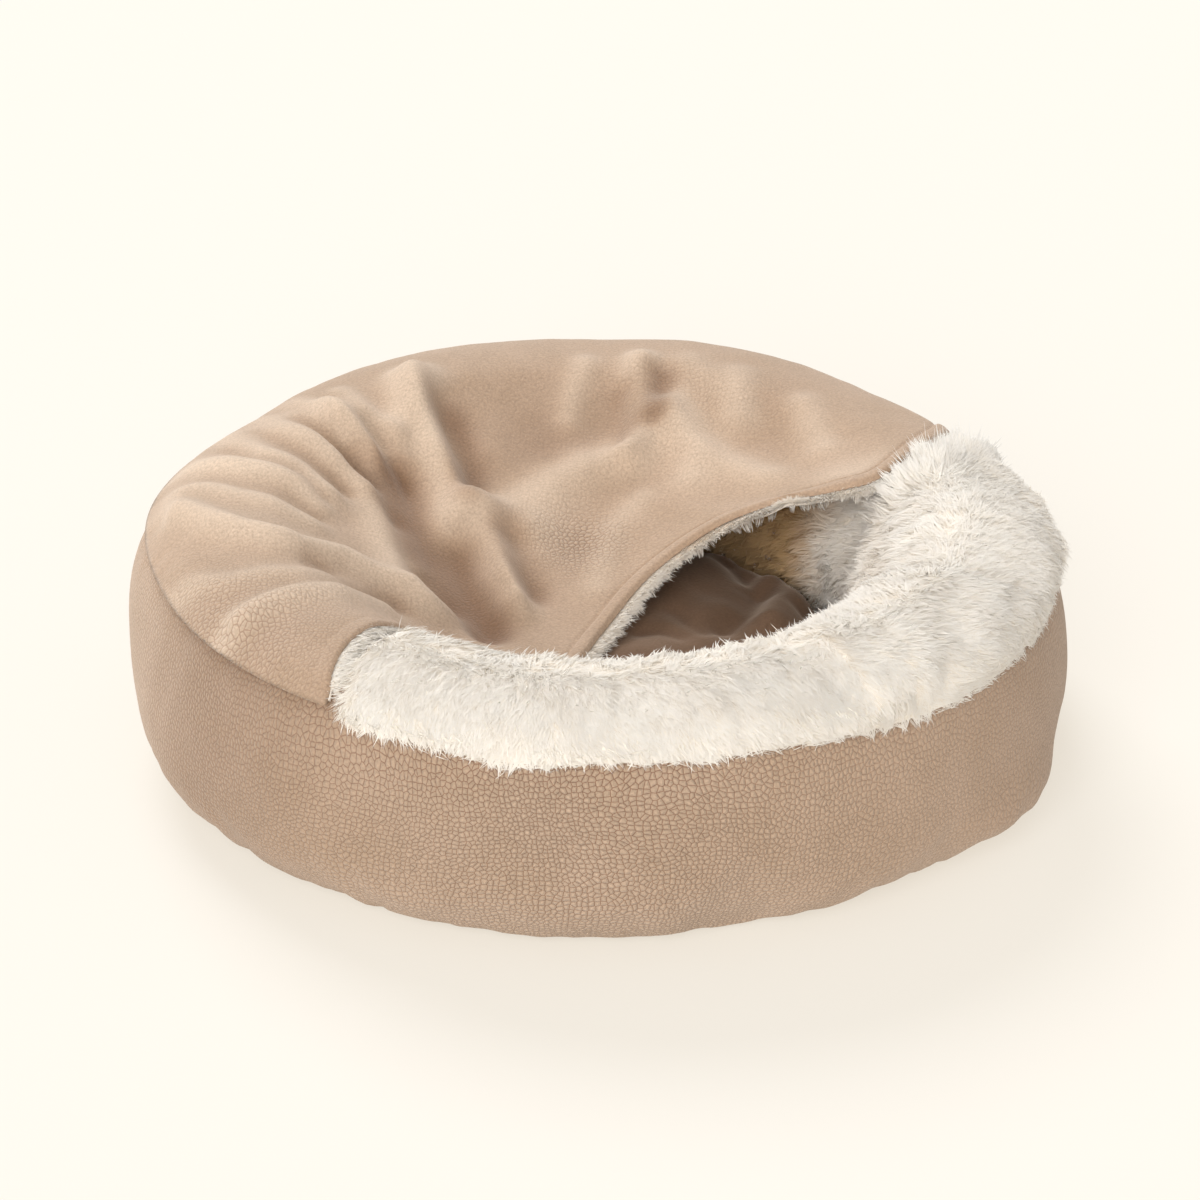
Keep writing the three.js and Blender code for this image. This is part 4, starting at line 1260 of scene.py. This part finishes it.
def sample_grid(grid, weight, count, random):
    """Random places on a grid of quads, spread by area times weight: the places, and their grid
    coordinates."""
    across = grid[1:, :-1] - grid[:-1, :-1]
    down = grid[:-1, 1:] - grid[:-1, :-1]
    area = np.linalg.norm(np.cross(across, down), axis=-1) * weight[:-1, :-1]
    chosen = random.choice(area.size, count, p=area.ravel() / area.sum())
    i, j = np.unravel_index(chosen, area.shape)
    return i + random.uniform(0, 1, count), j + random.uniform(0, 1, count)


def on_grid(values, at):
    """A grid's values at fractional grid coordinates."""
    i, j = at
    i0 = np.minimum(i.astype(int), values.shape[0] - 2)
    j0 = np.minimum(j.astype(int), values.shape[1] - 2)
    u, v = i - i0, j - j0
    if values.ndim > 2:
        u, v = u[:, None], v[:, None]
    return ((values[i0, j0] * (1 - u) + values[i0 + 1, j0] * u) * (1 - v)
            + (values[i0, j0 + 1] * (1 - u) + values[i0 + 1, j0 + 1] * u) * v)


# The most that a tuft's strands lean in towards its middle, and how its length varies between tufts
# and between its strands.
TUFT_DRAWN_IN = 0.13
TUFT_LENGTHS = (0.82, 1.15)
STRAND_LENGTHS = (0.85, 1.1)


def tufted(grid, normals, lie, weight, tufts, each, spread, random, stray=0.2):
    """Roots of strands in tufts: each strand's root, normal, lie and share of the full length."""
    at = sample_grid(grid, weight, tufts, random)
    centre, normal, leaning = on_grid(grid, at), unit(on_grid(normals, at)), on_grid(lie, at)
    leaning = leaning + random.normal(0, stray, (tufts, 3))
    along = unit(np.cross(normal, random.normal(0, 1, (tufts, 3))))
    aside = np.cross(normal, along)
    length = random.uniform(*TUFT_LENGTHS, tufts)
    repeat = np.repeat(np.arange(tufts), each)
    offset = random.normal(0, spread, (tufts * each, 2))
    shift = along[repeat] * offset[:, :1] + aside[repeat] * offset[:, 1:]
    lies = unit(leaning)[repeat] - shift / spread * TUFT_DRAWN_IN
    return (centre[repeat] + shift, normal[repeat], lies,
            length[repeat] * random.uniform(*STRAND_LENGTHS, len(repeat)))


# The shaggy panel over the ring

# How much lower than its height the panel's rim hangs: angle, spread and drop.
LIP_HEIGHT = 140
LIP_DROOPS = [(322, 24, 10), (244, 12, -2.5), (260, 7, 2)]
# How far the rim stands out from the wall at its root and at the tips of its pile, and where its rim
# is pressed flat under the hood: radius and height.
RIM_ROOT = 1
RIM_PILE = 4
PRESSED_RIM = (272.8, 147.2)
# Where the pile is pressed into a crease: angle, spread, how far, and the first and the last row.
PILE_CREASES = [(339, 3.5, 0.45, 2, 6), (10, 4, 0.4, 5, 9), (31, 4, 0.45, 5, 9), (9, 7, 0.5, 1, 2),
                (272, 5, 0.2, 1, 4), (300, 5, 0.2, 1, 5)]
# The panel lies this high on the core, and the backing's outside is this share of the way to the tips.
ON_CORE = 0.6
BACKING_SHARE = 0.85


def fur_rows(angle, share_out):
    """The panel's rows at each angle, from its hanging rim over the crown to the inner foot. The
    share is 0 at its backing on the core and 1 at the tips of its pile."""
    lip = LIP_HEIGHT - near_sum(angle, LIP_DROOPS)
    wall_row, seam_row = WALL_ROWS[-2:]
    wall_radius = mix(wall_row[0], seam_row[0], (lip - wall_row[1]) / (seam_row[1] - wall_row[1]))
    cover = under_hood(angle, np.full_like(angle, CROWN_RADII[0]))
    rows = [(mix(wall_radius + RIM_ROOT + RIM_PILE * share_out, PRESSED_RIM[0], cover),
             mix(lip - 1, PRESSED_RIM[1], cover))]
    for place, (core, opened, pressed) in enumerate(zip(CORE_ROWS, OPEN_ROWS, PRESSED_ROWS)):
        hidden = under_hood(angle, np.full_like(angle, pressed[0]))
        creased = 0 * angle
        for middle, spread, amount, first, last in PILE_CREASES:
            along = smoothstep(place, first - 1, first) * (1 - smoothstep(place, last, last + 1))
            creased = np.maximum(creased, amount * nearness(angle, middle, spread) * along)
        lumps = 0.07 * (np.sin(13 * angle + 1.7 * place) + np.sin(21 * angle - 2.3 * place))
        share = np.clip(np.maximum(hidden, creased) + lumps * (1 - hidden), -0.2, 1)
        out = mix(share_out, 1, hidden)
        rows.append([mix(root, mix(open_tip, pressed_tip, share), out) for root, open_tip, pressed_tip
                     in zip((core[0], core[1] + ON_CORE), opened, pressed)])
    rows = np.array([[np.broadcast_to(value, angle.shape) for value in row] for row in rows])
    return rows.transpose(2, 0, 1)


def fur_grid(angles, along, share_out):
    """The panel's surface at each angle, with along places from its rim to its inner foot."""
    grid = np.empty((len(angles), along, 3))
    for i, (angle, rows) in enumerate(zip(angles, fur_rows(angles, share_out))):
        row = through(rows, np.linspace(0, 1, along))
        angle = np.full(along, angle)
        grid[i] = round_axis(angle, *settled(angle, row[:, 0], row[:, 1]))
    return grid


FUR_ANGLES = 300
FUR_ALONG = 46
BACK_ALONG = 12
# The soft clumps that the pile lies in: size, seed and height.
PILE_CLUMPS = [(19, 61, 1.6), (9, 62, 1.0)]
# How far the panel bulges up beside the hood's right end, and inside which radii.
BULGE_BESIDE_HOOD = 4
BULGE_INSIDE = (225, 250)
# The pile is pressed flat by the hood above these heights.
PRESSED_ABOVE = (120, 135)


# Degrees past the hood's right hem: the pile fluffs up, is flat again and grows to here. Degrees
# before its left hem: the pile fluffs up and is flat again. It does so at these heights.
RIGHT_FLUFF = (-13, -6)
RIGHT_FLAT = (-4, -1.5)
GROWS_TO = (-1.8, -0.4)
LEFT_FLUFF = (-0.5, 1)
LEFT_FLAT = (2, 5)
FLUFF_ABOVE = (118, 138)


def beside_hood(points):
    """Where the open pile fluffs up against the hood: up to 1 at its right end and down to -1 at
    its left, and from 0 to 1 where it still grows."""
    angle, radius = polar(points)
    degrees = np.degrees(angle)
    right, left = hem_angles(down_crown(radius))
    high = smoothstep(points[..., 2], *FLUFF_ABOVE)
    past, past_left = degrees - right, degrees % 360 - left
    fluffed = smoothstep(past, *RIGHT_FLUFF) * (1 - smoothstep(past, *RIGHT_FLAT))
    fluffed_left = smoothstep(past_left, *LEFT_FLUFF) * (1 - smoothstep(past_left, *LEFT_FLAT))
    grows = (1 - smoothstep(past, *GROWS_TO)) * (degrees > -60)
    return (fluffed - fluffed_left * (degrees < 0)) * high, grows * high


def fur_surface(angles):
    """The panel's outside on a grid, in the soft clumps that its pile lies in, its normals, and
    where the pile stands free of the hood."""
    grid = fur_grid(angles, FUR_ALONG, BACKING_SHARE)
    radius = polar(grid)[1]
    covered = under_hood(np.broadcast_to(angles[:, None], radius.shape), radius)
    free = 1 - covered * smoothstep(grid[..., 2], *PRESSED_ABOVE)
    clumps = lumpy(grid, PILE_CLUMPS) * free * smoothstep(np.arange(FUR_ALONG), 0, 3)
    beside = np.maximum(beside_hood(grid)[0], 0) * (1 - smoothstep(radius, *BULGE_INSIDE))
    grid = grid + grid_normals(grid) * (clumps + BULGE_BESIDE_HOOD * beside)[..., None]
    return grid, grid_normals(grid), free


def make_fur_panel():
    angles = np.radians(np.arange(FUR_ANGLES) * 360 / FUR_ANGLES)
    outer = fur_surface(angles)[0]
    inner = fur_grid(angles, BACK_ALONG, 0)
    inner[:, 0] = outer[:, 0] - [0, 0, 0.5]
    points = np.concatenate([outer, inner[:, ::-1]], axis=1).reshape(-1, 3)
    piece = add_piece("fur_panel", points, ring_faces(FUR_ANGLES, FUR_ALONG + BACK_ALONG),
                      fur_backing)
    set_painted_nest_shade(piece, points)
    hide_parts("fur_cover")


PILE_LENGTH = 11
# How far from the middle of its tuft a strand of the ring's pile is rooted, about.
TUFT_SPREAD = 2.6
# How the ring's pile is combed: out or in from the crown's top, round in one direction and in swirls
# of this size, round beside the hood, and down.
COMBED_OUT = 0.8
COMBED_ROUND = 0.25
SWIRLED_ROUND = 0.7
SWIRL_SIZE = 60
ROUND_BY_HOOD = 1.3
COMBED_DOWN = 0.25
# The few strands that stand off in a soft fuzz: their share, and their lift.
FLYAWAY_SHARE = 0.03
FLYAWAY_LIFT = (0.3, 0.7)
# How much more a strand lifts beside the hood and on the inner side, how much longer it is beside the
# hood and shorter by the seam, and how much less its shading follows the panel on the inner side.
LIFT_BY_HOOD = 0.6
LIFT_INSIDE = 0.45
LONGER_BY_HOOD = 0.5
SHORTER_BY_SEAM = 0.3
LOOSER_INSIDE = 0.4
# The radii of the crown's top, where the pile parts, of the inner side and of the seam.
PARTING = (200, 262)
INNER_PILE = (178, 194)
SEAM_PILE = (262, 284)
# The step in degrees of the grid that strands are rooted on.
ROOT_STEP = 0.8


def ring_pile(name, angle_range, rows, tufts, each, lift, width, stray, follow, seed):
    """Strands over a part of the shaggy panel, between two shares of its way from rim to foot. Most
    lie combed, and a few stand off in a soft fuzz."""
    random = np.random.default_rng(seed)
    first, last = (int(share * FUR_ALONG) for share in rows)
    grid, normals, weight = (values[:, first:last] for values in
                             fur_surface(np.radians(np.arange(*angle_range, ROOT_STEP))))
    outward = outward_of(grid)
    round_ring = np.cross([0, 0, 1], outward)
    side = smoothstep(polar(grid)[1], *PARTING)[..., None] * 2 - 1
    swirl = soft_noise(grid, SWIRL_SIZE, seed + 100)[..., None]
    fluffed, grows = beside_hood(grid)
    turned = COMBED_ROUND + SWIRLED_ROUND * swirl + ROUND_BY_HOOD * fluffed[..., None]
    lie = outward * side * COMBED_OUT + round_ring * turned - [0, 0, COMBED_DOWN]
    roots, normal, lies, length = tufted(grid, normals, lie, np.maximum(weight, grows), tufts, each,
                                         TUFT_SPREAD, random, stray)
    count = len(roots)
    flyaway = random.uniform(0, 1, count) < FLYAWAY_SHARE
    lifts = np.where(flyaway, random.uniform(*FLYAWAY_LIFT, count), random.uniform(*lift, count))
    fluff = np.abs(beside_hood(roots)[0])
    radius = polar(roots)[1]
    inside = 1 - smoothstep(radius, *INNER_PILE)
    lifts = lifts + LIFT_BY_HOOD * fluff + LIFT_INSIDE * inside
    long = (length * PILE_LENGTH * (1 + LONGER_BY_HOOD * fluff)
            * (1 - SHORTER_BY_SEAM * smoothstep(radius, *SEAM_PILE)))
    strands(name, roots, normal, lies, long, lifts, width, follow - LOOSER_INSIDE * inside, seed)


# The fleece at the hem and under the hood: its length, the width of its strands and how far its
# shading follows the lining. The hem's is rooted this deep in the lining.
HEM_FLEECE = (8, 0.55, 0.7)
UNDER_FLEECE = (7, 0.8, 0.7)
HEM_ROOTED = 1.2


def fleece(name, seed, surface, lie, weight, tufts, each, spread, lift, looks):
    """Strands of pile on the hood's lining, from the grid of its places and normals."""
    random = np.random.default_rng(seed)
    roots, normal, lies, share = tufted(*surface, lie, weight, tufts, each, spread, random)
    length, width, follow = looks
    lifts = random.uniform(*lift, len(roots))
    return strands(name, roots, normal, lies, share * length, lifts, width, follow, seed + 1)


def hem_pile():
    """The fleece that stands out past the hood's hem as a pale band."""
    grid, normals, to_hem, from_seam, out = lining_grid(closer_at_ends(360, 30, 0.04),
                                                        np.linspace(0, 1, 160))
    return fleece("hem_fleece", 81, (grid - normals * HEM_ROOTED, normals),
                  out * 0.9 - normals * 0.25 - [0, 0, 0.15],
                  (1 - smoothstep(to_hem, 2, 6)) * smoothstep(from_seam, 3, 12),
                  tufts=3600, each=5, spread=1.8, lift=(-0.2, 0.5), looks=HEM_FLEECE)


def under_pile():
    """The fleece under the hood beside its hem, with its strands hanging down."""
    grid, normals, to_hem, _, out = lining_grid(np.linspace(0, 1, 160), np.linspace(0.42, 1, 80))
    below = grid - normals * (HALF_GAP + LINING_THICKNESS)
    return fleece("under_fleece", 84, (below, -normals), out * 0.5 + normals * 0.1,
                  1 - smoothstep(to_hem, 36, 60),
                  tufts=600, each=8, spread=1.5, lift=(0.6, 0.9), looks=UNDER_FLEECE)


make_fur_panel()
hem_fleece = hem_pile()
under_fleece = under_pile()
make_hood_lining()
# Each row: name, angles, rows, tufts and strands in each, lift, width, stray, follow and seed.
RING_PILES = [
    ("pile_outer_left", (229, 305), (0.0, 0.42), 3600, 16, (0.02, 0.16), 0.55, 0.18, 0.95, 71),
    ("pile_outer_right", (305, 396), (0.0, 0.42), 4000, 16, (0.02, 0.16), 0.55, 0.18, 0.95, 72),
    ("pile_inner_left", (229, 305), (0.38, 0.95), 1300, 12, (0.05, 0.25), 0.8, 0.3, 0.9, 73),
    ("pile_inner_right", (305, 390), (0.38, 0.95), 2900, 16, (0.05, 0.35), 0.65, 0.3, 0.85, 74),
    ("pile_inner_back", (28, 110), (0.45, 0.92), 1200, 12, (0.2, 0.6), 0.9, 0.5, 0.7, 75),
]
for row in RING_PILES:
    ring_pile(*row)


# The floor and the light

# The floor's side in metres: so long that its far edge isn't seen.
FLOOR_SIZE = 80


def add_floor():
    bpy.ops.object.select_all(action="DESELECT")
    bpy.ops.mesh.primitive_plane_add(size=FLOOR_SIZE, location=(0, 0, 0))
    floor = bpy.context.active_object
    floor.name = "floor"
    material, tree = new_material("pale studio floor")
    finish_material(tree, add_node(tree, "ShaderNodeBsdfPrincipled", {},
                                   {"Base Color": linear("#8f8f8f"), "Roughness": 0.9,
                                    "Specular IOR Level": 0.1,
                                    "Emission Color": linear("#fff6e6"),
                                    "Emission Strength": 0.65}))
    floor.data.materials.append(material)


def add_sun(name, azimuth, elevation, softness, strength):
    """A light as from a big soft box far away: softness is how wide it looks, in degrees."""
    light_data = bpy.data.lights.new(name, "SUN")
    light_data.angle = math.radians(softness)
    light_data.energy = strength
    light = bpy.data.objects.new(name, light_data)
    bpy.context.scene.collection.objects.link(light)
    light.rotation_euler = (math.radians(90 - elevation), 0, math.radians(azimuth))


def add_world():
    world = bpy.data.worlds.new("world")
    world.use_nodes = True
    background = world.node_tree.nodes["Background"]
    background.inputs["Color"].default_value = linear("#fffefc")
    background.inputs["Strength"].default_value = 0.52
    bpy.context.scene.world = world


add_floor()
add_sun("key light", -158, 44, 30, 2.1)
add_sun("fill light", -14, 27, 45, 2.6)
add_world()
bpy.context.scene.view_settings.view_transform = "Standard"
